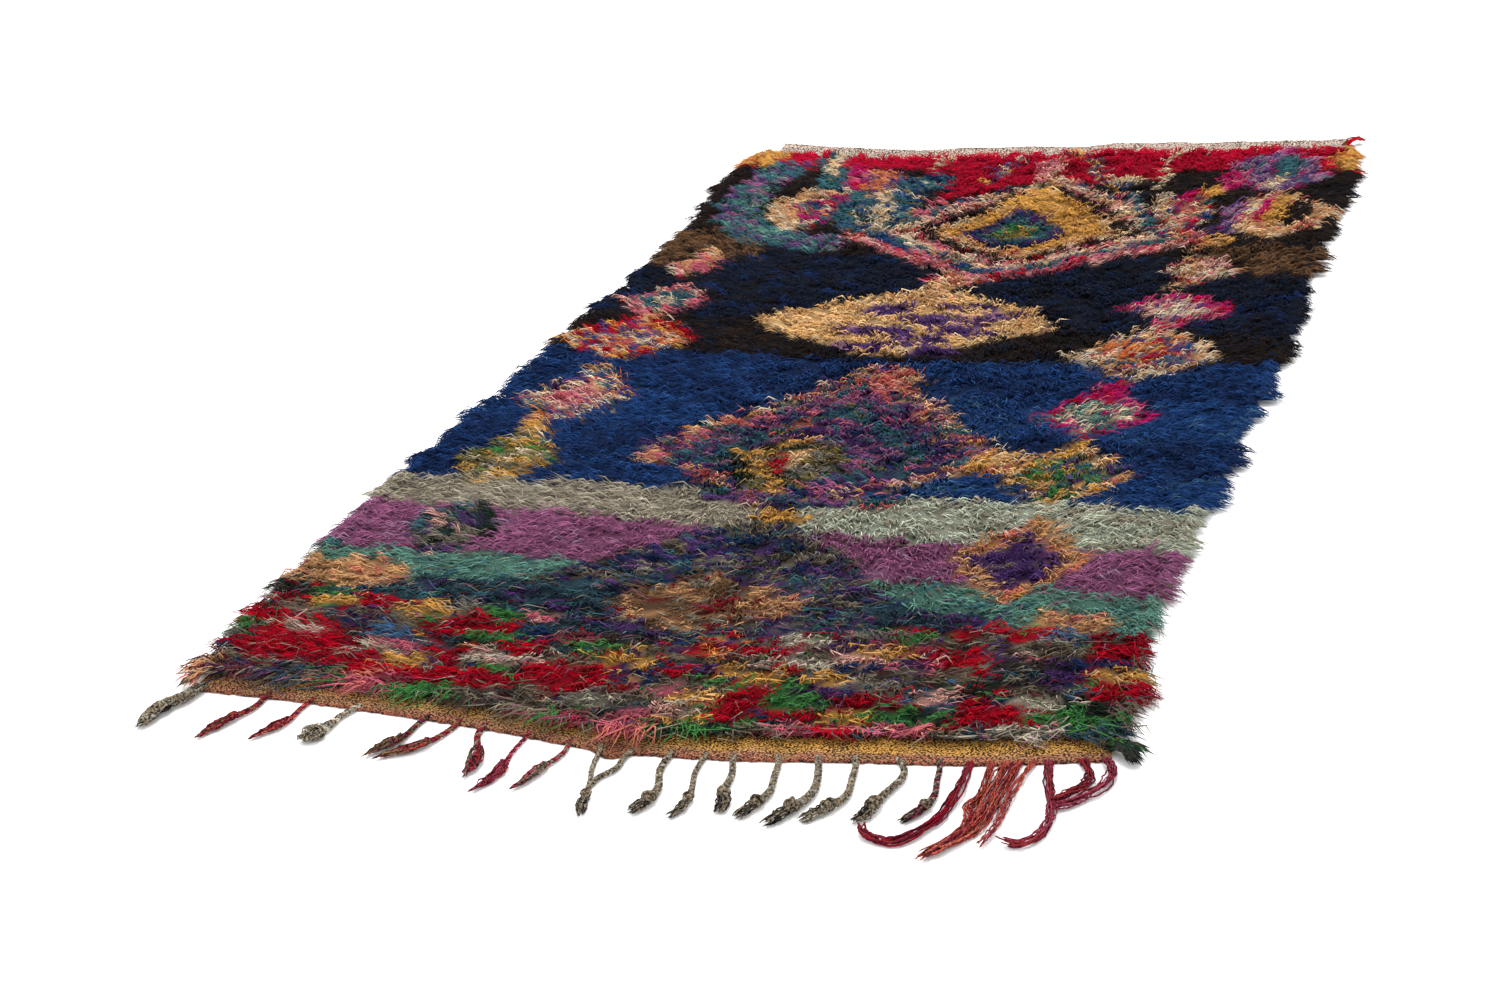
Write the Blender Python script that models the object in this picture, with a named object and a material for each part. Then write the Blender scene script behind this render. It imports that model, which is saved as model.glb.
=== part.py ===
"""A hand-knotted boucherouite rug lying flat on the floor, in metres, +Z up.

X runs across the rug and Y along it, from the fringed near end (-Y) to the plain far end (+Y).
The origin is on the underside, in the middle of the pile. The rug is one solid: a lumpy slab of pile
with locks round its rim, whose ground cloth runs on past the pile as a flat-woven strip at each end.
The fringe is a second solid: the last strip of the near hem, with the knotted warps on it.
"""

import math
from collections import namedtuple

import bmesh
import bpy
import numpy as np
from mathutils import Vector, noise

# Where the ground cloth's two selvedges run, which were never quite straight
Side = namedtuple("Side", "y left_x right_x")
SIDES = (
    Side(-1.30, -0.572, 0.590),
    Side(-1.00, -0.583, 0.562),
    Side(-0.70, -0.592, 0.568),
    Side(-0.43, -0.586, 0.582),
    Side(-0.15, -0.573, 0.592),
    Side(0.10, -0.577, 0.604),
    Side(0.43, -0.566, 0.598),
    Side(0.65, -0.564, 0.598),
    Side(0.95, -0.595, 0.606),
    Side(1.20, -0.590, 0.592),
)

# Where the outer edges of the two flat-woven ends run
End = namedtuple("End", "x near_y far_y")
ENDS = (
    End(-0.60, -1.288, 1.278),
    End(-0.45, -1.296, 1.246),
    End(-0.30, -1.311, 1.229),
    End(-0.15, -1.331, 1.245),
    End(0.00, -1.364, 1.258),
    End(0.15, -1.363, 1.288),
    End(0.30, -1.349, 1.294),
    End(0.45, -1.331, 1.307),
    End(0.60, -1.284, 1.322),
)

NEAR_WEAVE = 0.056  # depth of the flat-woven near end, with the fringe's strip
FAR_WEAVE = 0.080  # depth of the flat-woven far end
WEAVE_THICK = 0.0032
WEAVE_NARROWING = 0.014  # share by which a flat-woven end is narrower than the pile
NEAR_STEPS = (0.05, 1.0)  # where the flat-woven ends have their rings, as shares of their depths
FAR_STEPS = (0.04, 0.30, 0.55, 0.80, 1.0)
FAR_CURL = 0.008  # how high the far end's outer edge curls up
CURL_UNEVEN = 0.5
HEM_STRIP = 0.018  # depth of the near hem's last strip, which carries the fringe
PIECE_GAP = 0.0006  # between the rug and that strip

PILE_THICK = 0.024  # ground cloth and trodden pile together
PILE_LUMP = 0.010  # height of the lumps, of which there are wide ones and small ones
WIDE_LUMPS = 14  # to the metre
SMALL_LUMPS = 31
RIM_THICK = 0.013  # the pile thins out to this at the rim
GROUND_THICK = 0.0040
CELL = 0.040  # size of the slab's lumps, and so of a lock's root
CELL_JITTER = 0.45  # share of a cell by which the lumps are uneven

LOCK_REACH = 0.036  # how far a rim lock spreads past the ground cloth
LOCK_UNEVEN = 0.45
LOCK_LEAN = 0.45  # towards the near end, as the pile lies
LOCK_SWAY = 0.6
NEAR_LOCK_SHORT = 0.014  # at the right, where the flat-woven end shows
NEAR_LOCK_LONG = 0.038  # at the left and in the middle, where the pile hides it
NEAR_LOCK_CHANGE = (0.04, 0.14)  # the long ones give way to the short ones between these
FAR_LOCK = 0.020

# Single locks that stick out further than their neighbours: -1 is the left side, 1 the right side
LongLock = namedtuple("LongLock", "hand y reach lean")
LONG_LOCKS = (
    LongLock(-1, -0.80, 0.052, 0.30),
    LongLock(1, -1.25, 0.056, 0.75),
    LongLock(1, -1.10, 0.046, 0.30),
)

# A lock's shape at a share of its reach: its root's width and height are scaled by these
Ring = namedtuple("Ring", "share width height")
LOCK_RINGS = (Ring(0.32, 0.88, 0.88), Ring(0.70, 0.60, 0.62), Ring(1.0, 0.20, 0.28))

# A warp's shape along its length, for each way in which it ends
WARP_RINGS = {
    "knot": (
        Ring(0.07, 0.85, 0.75),
        Ring(0.20, 1.0, 1.0),
        Ring(0.40, 0.94, 1.0),
        Ring(0.58, 1.0, 1.0),
        Ring(0.68, 1.45, 1.35),
        Ring(0.76, 1.10, 1.05),
        Ring(0.88, 1.35, 1.0),
        Ring(1.0, 0.35, 0.4),
    ),
    "ball": (
        Ring(0.10, 0.85, 0.75),
        Ring(0.30, 1.0, 1.0),
        Ring(0.52, 1.0, 1.0),
        Ring(0.66, 1.7, 1.2),
        Ring(0.84, 2.3, 1.5),
        Ring(0.95, 1.7, 1.1),
        Ring(1.0, 0.8, 0.5),
    ),
    "hank": (
        Ring(0.06, 0.9, 0.8),
        Ring(0.18, 1.0, 1.0),
        Ring(0.32, 0.9, 0.95),
        Ring(0.46, 1.0, 1.0),
        Ring(0.58, 0.95, 0.9),
        Ring(0.70, 0.95, 0.9),
        Ring(0.81, 0.85, 0.8),
        Ring(0.91, 0.8, 0.8),
        Ring(1.0, 0.3, 0.4),
    ),
}

# The warps of the fringe: where each leaves the hem, where it lies a third and two thirds of the way
# along, its tip, how far it sags past a straight line to that tip, and its thickness
Warp = namedtuple("Warp", "root_x third_x two_thirds_x tip_x tip_y sag thick ending")
FRINGE = (
    Warp(-0.553, -0.570, -0.586, -0.596, -1.398, 0.0, 0.019, "hank"),
    Warp(-0.475, -0.480, -0.495, -0.512, -1.417, 0.0, 0.011, "knot"),
    Warp(-0.411, -0.414, -0.424, -0.442, -1.406, 0.0, 0.009, "knot"),
    Warp(-0.342, -0.346, -0.352, -0.361, -1.394, 0.0, 0.012, "ball"),
    Warp(-0.244, -0.249, -0.262, -0.278, -1.428, 0.0, 0.010, "knot"),
    Warp(-0.200, -0.202, -0.222, -0.249, -1.437, 0.0, 0.010, "knot"),
    Warp(-0.164, -0.155, -0.141, -0.133, -1.456, 0.0, 0.012, "knot"),
    Warp(-0.103, -0.100, -0.104, -0.119, -1.487, 0.0, 0.008, "knot"),
    Warp(-0.046, -0.044, -0.054, -0.075, -1.472, 0.0, 0.009, "knot"),
    Warp(-0.003, 0.009, 0.018, 0.036, -1.513, 0.0, 0.009, "knot"),
    Warp(0.040, 0.038, 0.042, 0.052, -1.470, 0.0, 0.009, "hank"),
    Warp(0.092, 0.089, 0.098, 0.090, -1.504, 0.0, 0.011, "knot"),
    Warp(0.133, 0.131, 0.138, 0.136, -1.503, 0.0, 0.008, "knot"),
    Warp(0.169, 0.171, 0.181, 0.186, -1.483, 0.0, 0.010, "knot"),
    Warp(0.221, 0.224, 0.219, 0.220, -1.493, 0.0, 0.010, "knot"),
    Warp(0.268, 0.273, 0.262, 0.254, -1.504, 0.0, 0.012, "knot"),
    Warp(0.311, 0.314, 0.304, 0.286, -1.488, 0.0, 0.010, "knot"),
    Warp(0.360, 0.366, 0.352, 0.344, -1.478, 0.0, 0.011, "knot"),
    Warp(0.406, 0.409, 0.402, 0.396, -1.468, 0.0, 0.009, "knot"),
    Warp(0.437, 0.441, 0.429, 0.372, -1.500, 0.050, 0.010, "hank"),
    Warp(0.460, 0.460, 0.454, 0.425, -1.528, 0.0, 0.009, "hank"),
    Warp(0.482, 0.480, 0.475, 0.447, -1.547, 0.0, 0.010, "hank"),
    Warp(0.507, 0.506, 0.500, 0.482, -1.508, 0.0, 0.009, "hank"),
    Warp(0.530, 0.552, 0.553, 0.512, -1.480, 0.045, 0.010, "hank"),
    Warp(0.553, 0.573, 0.582, 0.574, -1.404, 0.0, 0.010, "hank"),
    Warp(0.573, 0.595, 0.605, 0.598, -1.394, 0.0, 0.010, "hank"),
)
WARP_ROOT = 0.7  # a warp's width where it leaves the hem, as a share of its thickness
WARP_FLATNESS = 0.8  # a warp's height as a share of its thickness
DIRECTION_STEP = 0.02  # share of a warp's length over which its direction is taken
STATION_GAP = 0.002  # least distance between two of the hem strip's stations

# The small tuft at the far right corner
TUFT_REACH = 0.034
TUFT_SLANT = 0.55
TUFT_WIDTH = 0.018
TUFT_THICK = 0.008

# name: colour, roughness
FINISHES = {
    "rug": ((0.020, 0.035, 0.110, 1.0), 0.95),
    "fringe": ((0.330, 0.120, 0.070, 1.0), 0.90),
}


def smooth_between(rows, at, column):
    """The value of a column at a place, on one smooth curve through a table's rows."""
    places = [row[0] for row in rows]
    values = [getattr(row, column) for row in rows]
    at = min(max(at, places[0]), places[-1])
    i = max(k for k in range(len(rows) - 1) if places[k] <= at)
    span = places[i + 1] - places[i]
    t = (at - places[i]) / span

    def slope(k):
        low, high = max(k - 1, 0), min(k + 1, len(rows) - 1)
        return (values[high] - values[low]) / (places[high] - places[low]) * span

    return (
        values[i] * (1 + 2 * t) * (1 - t) ** 2
        + values[i + 1] * t * t * (3 - 2 * t)
        + slope(i) * t * (1 - t) ** 2
        - slope(i + 1) * t * t * (1 - t)
    )


def near_edge(x):
    """Where the near hem's outer edge runs."""
    return smooth_between(ENDS, x, "near_y")


def far_edge(x):
    """Where the far end's outer edge runs."""
    return smooth_between(ENDS, x, "far_y")


def hem_parting(x):
    """Where the rug's near hem ends and the fringe's strip begins."""
    return near_edge(x) + HEM_STRIP


def uneven_steps(count, seed):
    """Shares from 0 to 1 in steps that differ a little, as hand-tied rows do."""
    inner = [(i + CELL_JITTER * noise.noise((i * 0.73, seed, 0.0))) / count for i in range(1, count)]
    return [0.0, *inner, 1.0]


def slab_shares():
    """The slab's shares across and along the rug."""
    width = SIDES[0].right_x - SIDES[0].left_x
    length = far_edge(0) - FAR_WEAVE - near_edge(0) - NEAR_WEAVE
    return uneven_steps(round(width / CELL), 1.3), uneven_steps(round(length / CELL), 8.9)


def plan_place(across, along):
    """A point of the ground cloth under the pile, from its shares across and along the rug."""
    mid_y = SIDES[0].y * (1 - along) + SIDES[-1].y * along
    left = smooth_between(SIDES, mid_y, "left_x")
    right = smooth_between(SIDES, mid_y, "right_x")
    x = left + (right - left) * across
    y = (near_edge(x) + NEAR_WEAVE) * (1 - along) + (far_edge(x) - FAR_WEAVE) * along
    return x, y


def pile_top(x, y):
    """Height of the trodden pile, in lumps of two sizes."""
    wide = noise.noise((x * WIDE_LUMPS, y * WIDE_LUMPS, 3.0))
    small = noise.noise((x * SMALL_LUMPS, y * SMALL_LUMPS, 7.0))
    return PILE_THICK + PILE_LUMP * (wide + 0.6 * small)


def parts_of(geometry, kind):
    """The vertices, edges or faces among what an operator made."""
    return [item for item in geometry if isinstance(item, kind)]


def pull_out(bm, face, path, sideways, rings):
    """Draws a wall face out into a four-sided lock, ring by ring.

    path(share) is a place on the lock's line, sideways(share) points across it, and a ring is
    (share, width, lowest height, highest height).
    """
    centre = face.calc_center_median()
    side = sideways(0.0)
    hands = [1 if (v.co - centre).dot(side) > 0 else -1 for v in face.verts]
    tops = [max(v.co.z for v, other in zip(face.verts, hands) if other == hand) for hand in hands]
    roles = [(hand, v.co.z == top) for v, hand, top in zip(face.verts, hands, tops)]
    for share, width, low, high in rings:
        face = bmesh.ops.extrude_discrete_faces(bm, faces=[face])["faces"][0]
        for vertex, (hand, is_top) in zip(face.verts, roles):
            place = path(share) + sideways(share) * (hand * width / 2)
            vertex.co = Vector((place.x, place.y, high if is_top else low))


def lock_on(bm, face, reach, lean, on_floor):
    """A rim lock on one wall face. It droops to the floor, or lies level over a flat-woven end."""
    face.normal_update()
    out = Vector((face.normal.x, face.normal.y, 0)).normalized()
    across = Vector((-out.y, out.x, 0))
    corners = [v.co for v in face.verts]
    root_width = max((a - b).dot(across) for a in corners for b in corners)
    root_low = min(c.z for c in corners)
    root_high = max(c.z for c in corners)
    centre = face.calc_center_median()
    way = out + Vector((0, -lean, 0)) if on_floor else out + Vector((lean, 0, 0))
    rings = []
    for ring in LOCK_RINGS:
        low = root_low * max(0.0, 1 - 2 * ring.share) if on_floor else root_low
        high = low + (root_high - root_low) * ring.height
        rings.append((ring.share, root_width * ring.width, low, high))
    pull_out(bm, face, lambda share: centre + way * (reach * share), lambda share: across, rings)


def near_lock_reach(x):
    """The pile hides the near end's weave at the left and in the middle, and clears it at the right."""
    hidden, clear = NEAR_LOCK_CHANGE
    return float(np.interp(x, (hidden, clear), (NEAR_LOCK_LONG, NEAR_LOCK_SHORT)))


def add_rim_locks(bm, wall):
    """A lock on every face of the pile's wall, uneven in reach and in lean."""
    for face in wall:
        face.normal_update()
    long_ones = {}
    for lock in LONG_LOCKS:
        beside = [f for f in wall if f.normal.x * lock.hand > 0.7]
        long_ones[min(beside, key=lambda f: abs(f.calc_center_median().y - lock.y))] = lock
    for face in wall:
        middle = face.calc_center_median()
        uneven = 1 + LOCK_UNEVEN * noise.noise((middle.x * 31, middle.y * 31, 5.0))
        sway = LOCK_SWAY * noise.noise((middle.x * 9, middle.y * 9, 11.0))
        if face in long_ones:
            lock_on(bm, face, long_ones[face].reach, long_ones[face].lean, on_floor=True)
        elif abs(face.normal.x) > abs(face.normal.y):
            lock_on(bm, face, LOCK_REACH * uneven, LOCK_LEAN + sway, on_floor=True)
        else:
            reach = near_lock_reach(middle.x) if middle.y < 0 else FAR_LOCK
            lock_on(bm, face, reach * uneven, sway, on_floor=False)


def draw_out_weave(bm, wall, steps, edge, curl):
    """Runs the ground cloth on past the pile to the line edge(x), where it is curled up."""
    roots = {tuple(v.co): v.co.copy() for face in wall for v in face.verts}
    for share in steps:
        grown = bmesh.ops.extrude_face_region(bm, geom=wall)["geom"]
        bmesh.ops.delete(bm, geom=wall, context="FACES")
        wall = parts_of(grown, bmesh.types.BMFace)
        moved = {}
        for vertex in parts_of(grown, bmesh.types.BMVert):
            root = roots[tuple(vertex.co)]
            x = root.x * (1 - WEAVE_NARROWING)
            y = root.y * (1 - share) + edge(x) * share
            lift = curl * share**3 * (1 + CURL_UNEVEN * noise.noise((x * 9, 2.0, 4.0)))
            vertex.co = Vector((x, y, lift + (WEAVE_THICK if root.z > 0 else 0)))
            moved[tuple(vertex.co)] = root
        roots = moved


def add_corner_tuft(bm):
    """The tuft at the far right corner, on the last face of the far end's selvedge."""
    selvedge = [f for f in bm.faces if f.normal.x > 0.7]
    face = max(selvedge, key=lambda f: f.calc_center_median().y)
    middle = face.calc_center_median()
    way = Vector((TUFT_REACH, TUFT_REACH * TUFT_SLANT, 0))
    low = middle.z - TUFT_THICK / 2
    rings = [
        (ring.share, TUFT_WIDTH * ring.width, low, low + TUFT_THICK * ring.height)
        for ring in LOCK_RINGS
    ]
    pull_out(bm, face, lambda share: middle + way * share, lambda share: Vector((0, 1, 0)), rings)


def new_object(name, bm):
    """Turns a bmesh into a named object with its own material."""
    bmesh.ops.recalc_face_normals(bm, faces=bm.faces)
    mesh = bpy.data.meshes.new(name)
    bm.to_mesh(mesh)
    bm.free()
    mesh.shade_smooth()
    mesh.set_sharp_from_angle(angle=math.radians(35))
    colour, roughness = FINISHES[name]
    material = bpy.data.materials.new(name)
    material.use_nodes = True
    shader = material.node_tree.nodes["Principled BSDF"]
    shader.inputs["Base Color"].default_value = colour
    shader.inputs["Roughness"].default_value = roughness
    shader.inputs["Metallic"].default_value = 0.0
    mesh.materials.append(material)
    obj = bpy.data.objects.new(name, mesh)
    bpy.context.scene.collection.objects.link(obj)


def make_slab_top(across, along):
    """The pile's lumpy top, thinned out at its rim."""
    bm = bmesh.new()
    columns, rows = len(across) - 1, len(along) - 1
    bmesh.ops.create_grid(bm, x_segments=columns, y_segments=rows, size=0.5)
    for vertex in bm.verts:
        i = round((vertex.co.x + 0.5) * columns)
        j = round((vertex.co.y + 0.5) * rows)
        x, y = plan_place(across[i], along[j])
        at_rim = i in (0, columns) or j in (0, rows)
        vertex.co = Vector((x, y, RIM_THICK if at_rim else pile_top(x, y)))
    return bm


def drop_wall(bm, rim, height):
    """A wall from a rim down to a height, with the rim at its foot."""
    made = bmesh.ops.extrude_edge_only(bm, edges=rim)["geom"]
    for vertex in parts_of(made, bmesh.types.BMVert):
        vertex.co.z = height
    foot = [edge for edge in parts_of(made, bmesh.types.BMEdge) if edge.is_boundary]
    return parts_of(made, bmesh.types.BMFace), foot


def make_rug():
    """The slab of pile and its ground cloth, with the rim's locks and the two flat-woven ends."""
    bm = make_slab_top(*slab_shares())
    rim = [edge for edge in bm.edges if edge.is_boundary]
    pile_wall, foot = drop_wall(bm, rim, GROUND_THICK)
    ground_wall, foot = drop_wall(bm, foot, 0.0)
    bmesh.ops.contextual_create(bm, geom=foot)
    bmesh.ops.recalc_face_normals(bm, faces=bm.faces)
    near_wall = [f for f in ground_wall if f.normal.y < -0.7]
    far_wall = [f for f in ground_wall if f.normal.y > 0.7]
    draw_out_weave(bm, near_wall, NEAR_STEPS, hem_parting, 0.0)
    draw_out_weave(bm, far_wall, FAR_STEPS, far_edge, FAR_CURL)
    bmesh.ops.recalc_face_normals(bm, faces=bm.faces)
    add_corner_tuft(bm)
    add_rim_locks(bm, pile_wall)
    new_object("rug", bm)


def warp_line(warp):
    """The smooth line on the floor that a warp follows, and the direction across it."""
    spots = (0.0, 1 / 3, 2 / 3, 1.0)
    xs = (warp.root_x, warp.third_x, warp.two_thirds_x, warp.tip_x)
    hem_y = near_edge(warp.root_x)

    def path(share):
        # The cubic through the four places
        x = 0.0
        for spot, value in zip(spots, xs):
            for other in spots:
                if other != spot:
                    value *= (share - other) / (spot - other)
            x += value
        y = hem_y + (warp.tip_y - hem_y) * share - warp.sag * 4 * share * share * (1 - share)
        return Vector((x, y, 0))

    def sideways(share):
        if share == 0.0:
            return Vector((1, 0, 0))
        way = path(share) - path(share - DIRECTION_STEP)
        return Vector((-way.y, way.x, 0)).normalized()

    return path, sideways


def strip_stations():
    """Where the fringe's strip has its columns: at each warp's root, and at the rug's own columns."""
    across, _ = slab_shares()
    rug_columns = [plan_place(share, 0.0)[0] * (1 - WEAVE_NARROWING) for share in across]
    stations = []
    taken = []
    for warp in FRINGE:
        half = warp.thick * WARP_ROOT / 2
        stations += [warp.root_x - half, warp.root_x + half]
        taken.append((warp.root_x, half + STATION_GAP))
    stations += [x for x in rug_columns if all(abs(x - root) > room for root, room in taken)]
    stations.sort()
    parting = np.interp(stations, rug_columns, [hem_parting(x) for x in rug_columns])
    return stations, parting.tolist()


def make_fringe():
    """The near hem's last strip, with every warp of the fringe grown out of its outer wall."""
    stations, parting = strip_stations()
    columns = len(stations) - 1
    bm = bmesh.new()
    bmesh.ops.create_grid(bm, x_segments=columns, y_segments=1, size=0.5)
    for vertex in bm.verts:
        i = round((vertex.co.x + 0.5) * columns)
        y = parting[i] - PIECE_GAP if vertex.co.y > 0 else near_edge(stations[i])
        vertex.co = Vector((stations[i], y, WEAVE_THICK))
    lowered = bmesh.ops.extrude_face_region(bm, geom=bm.faces[:])["geom"]
    for vertex in parts_of(lowered, bmesh.types.BMVert):
        vertex.co.z = 0.0
    bmesh.ops.recalc_face_normals(bm, faces=bm.faces)

    outer_wall = [f for f in bm.faces if f.normal.y < -0.7]
    for warp in FRINGE:
        face = min(outer_wall, key=lambda f: abs(f.calc_center_median().x - warp.root_x))
        outer_wall.remove(face)
        path, sideways = warp_line(warp)
        rings = [
            (ring.share, warp.thick * ring.width, 0.0, warp.thick * ring.height * WARP_FLATNESS)
            for ring in WARP_RINGS[warp.ending]
        ]
        pull_out(bm, face, path, sideways, rings)
    new_object("fringe", bm)


def main():
    for obj in list(bpy.data.objects):
        bpy.data.objects.remove(obj, do_unlink=True)
    make_rug()
    make_fringe()


main()
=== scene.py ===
"""The looks of the boucherouite rug: its woven ground, its shaggy pile and its knotted fringe.

Lengths are in metres. X runs across the rug and Y along it, from the fringed near end to the plain
far end. The pile is made of strands in knots of one colour each. A knot takes its colour from
tables of bands and lozenges, whose edges are made uneven as a weaver's are.
"""

from collections import namedtuple

import bpy
import numpy as np
from mathutils import Matrix, Vector, noise


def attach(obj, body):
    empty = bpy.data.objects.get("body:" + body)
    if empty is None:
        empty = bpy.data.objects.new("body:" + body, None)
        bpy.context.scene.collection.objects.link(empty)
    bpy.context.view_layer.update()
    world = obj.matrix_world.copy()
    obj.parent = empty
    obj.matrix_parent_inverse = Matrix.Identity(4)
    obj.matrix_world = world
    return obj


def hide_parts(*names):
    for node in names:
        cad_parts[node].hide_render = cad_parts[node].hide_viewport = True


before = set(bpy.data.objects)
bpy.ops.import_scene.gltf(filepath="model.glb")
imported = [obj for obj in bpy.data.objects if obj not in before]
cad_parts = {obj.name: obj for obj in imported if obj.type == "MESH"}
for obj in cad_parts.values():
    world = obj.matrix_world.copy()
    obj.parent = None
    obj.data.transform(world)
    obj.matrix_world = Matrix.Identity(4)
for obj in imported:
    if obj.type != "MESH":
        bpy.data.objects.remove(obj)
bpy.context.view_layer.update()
bpy.ops.object.select_all(action="DESELECT")

# The selvedges at places along the rug, and the woven ends' outer edges at places across it.
# From the middle to the right the near edge is up to 12 mm further in than the solid's, and the near
# left corner 10 mm further out, as in the photograph.
SIDES = np.array((
    (-1.30, -0.582, 0.590),
    (-1.00, -0.583, 0.562),
    (-0.70, -0.592, 0.568),
    (-0.43, -0.586, 0.582),
    (-0.15, -0.573, 0.592),
    (0.10, -0.577, 0.604),
    (0.43, -0.566, 0.598),
    (0.65, -0.564, 0.598),
    (0.95, -0.595, 0.606),
    (1.20, -0.590, 0.592),
))
ENDS = np.array((
    (-0.60, -1.288, 1.278),
    (-0.45, -1.296, 1.246),
    (-0.30, -1.311, 1.229),
    (-0.15, -1.331, 1.245),
    (0.00, -1.357, 1.258),
    (0.15, -1.356, 1.288),
    (0.30, -1.337, 1.294),
    (0.45, -1.320, 1.307),
    (0.60, -1.284, 1.322),
))
NEAR_WEAVE = 0.056
FAR_WEAVE = 0.080
WEAVE_THICK = 0.0032
WEAVE_NARROWING = 0.014
FAR_CURL = 0.008
HEM_STRIP = 0.018
NEAR_ROWS, PILE_ROWS, FAR_ROWS = 0.13, 0.67, 0.20  # shares of the ground cloth's rows of faces
FAR_START = 0.80
PIECE_GAP = 0.0003

PILE_FLOOR = 0.0036  # underside of the pile, just clear of the woven ground
BED_HEIGHT = 0.0075  # the matted roots of the pile
BED_LUMP = 0.0035
BED_RIM = 0.030  # over which the bed thins out to the selvedge
KNOTS_ACROSS = 100
KNOTS_ALONG = 176
KNOT_JITTER = 0.38  # as a share of the knots' pitch
STRAND_REACH = 0.036
MOTIF_REACH = 0.027  # the motifs' strands are shorter

CLUMP = 0.036  # size of the locks into which the pile has matted
CLUMP_PULL = 0.5
NEAR_LEAN = 0.5  # the first rows lie every way over the hem
FAR_LEAN = 0.9  # the last rows stand up and lean back over the bare far end
RIM = 0.034  # over which the strands turn outwards
RIM_REACH = 0.036
RIM_ROWS = 2  # of extra knots along the selvedges and the near edge
RIM_KNOTS = 150  # to the metre in each of those rows
RIM_ROW_GAP = 0.004
PILE_SIDE, PILE_END = 2.45, 1.15  # those rows' lengths
PILE_WIDTH, PILE_LENGTH = 1.17, 2.5  # over which those rows' insets are taken
ROOT_SPREAD = 0.0040  # how far a strand starts from its knot
NEAR_DEPTH = 0.022  # of the rows that fall over the hem
FAR_DEPTH = 0.030  # of the shorter rows at the far end
STRAND_SHIFT = 0.013  # the pile lies towards the near end by about this
SEED = 7

# Colours of the yarns as red, green and blue on a screen, from 0 to 255
YARNS = {
    "blue": (35, 67, 119),
    "sky": (62, 96, 132),
    "deep blue": (28, 46, 86),
    "navy": (27, 34, 50),
    "black": (33, 29, 32),
    "dark earth": (44, 34, 29),
    "brown": (104, 76, 54),
    "scarlet": (182, 15, 48),
    "red": (170, 9, 32),
    "deep red": (128, 14, 32),
    "straw": (224, 176, 116),
    "pale straw": (232, 196, 146),
    "violet": (88, 60, 114),
    "purple": (70, 44, 94),
    "mauve": (150, 90, 126),
    "pale mauve": (158, 118, 146),
    "teal": (98, 142, 128),
    "sea": (58, 100, 108),
    "deep teal": (50, 74, 86),
    "beige": (163, 154, 135),
    "sage": (184, 190, 170),
    "gold": (210, 156, 76),
    "orange": (200, 112, 64),
    "salmon": (204, 116, 100),
    "coral": (190, 90, 84),
    "pink": (192, 96, 114),
    "pale pink": (212, 160, 148),
    "magenta": (178, 28, 97),
    "cream": (210, 190, 162),
    "tan": (198, 148, 104),
    "green": (62, 118, 62),
    "bottle": (32, 46, 38),
    "olive": (116, 106, 56),
    "grey": (122, 116, 104),
    "mustard": (198, 144, 78),
    "ash": (186, 176, 158),
    "undyed": (224, 202, 186),
    "pepper": (112, 100, 84),
    "soot": (58, 52, 48),
    "wine": (100, 32, 48),
    "rose red": (134, 54, 70),
    "rust": (148, 66, 54),
    "brick": (126, 40, 42),
    "terracotta": (166, 90, 74),
}

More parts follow.
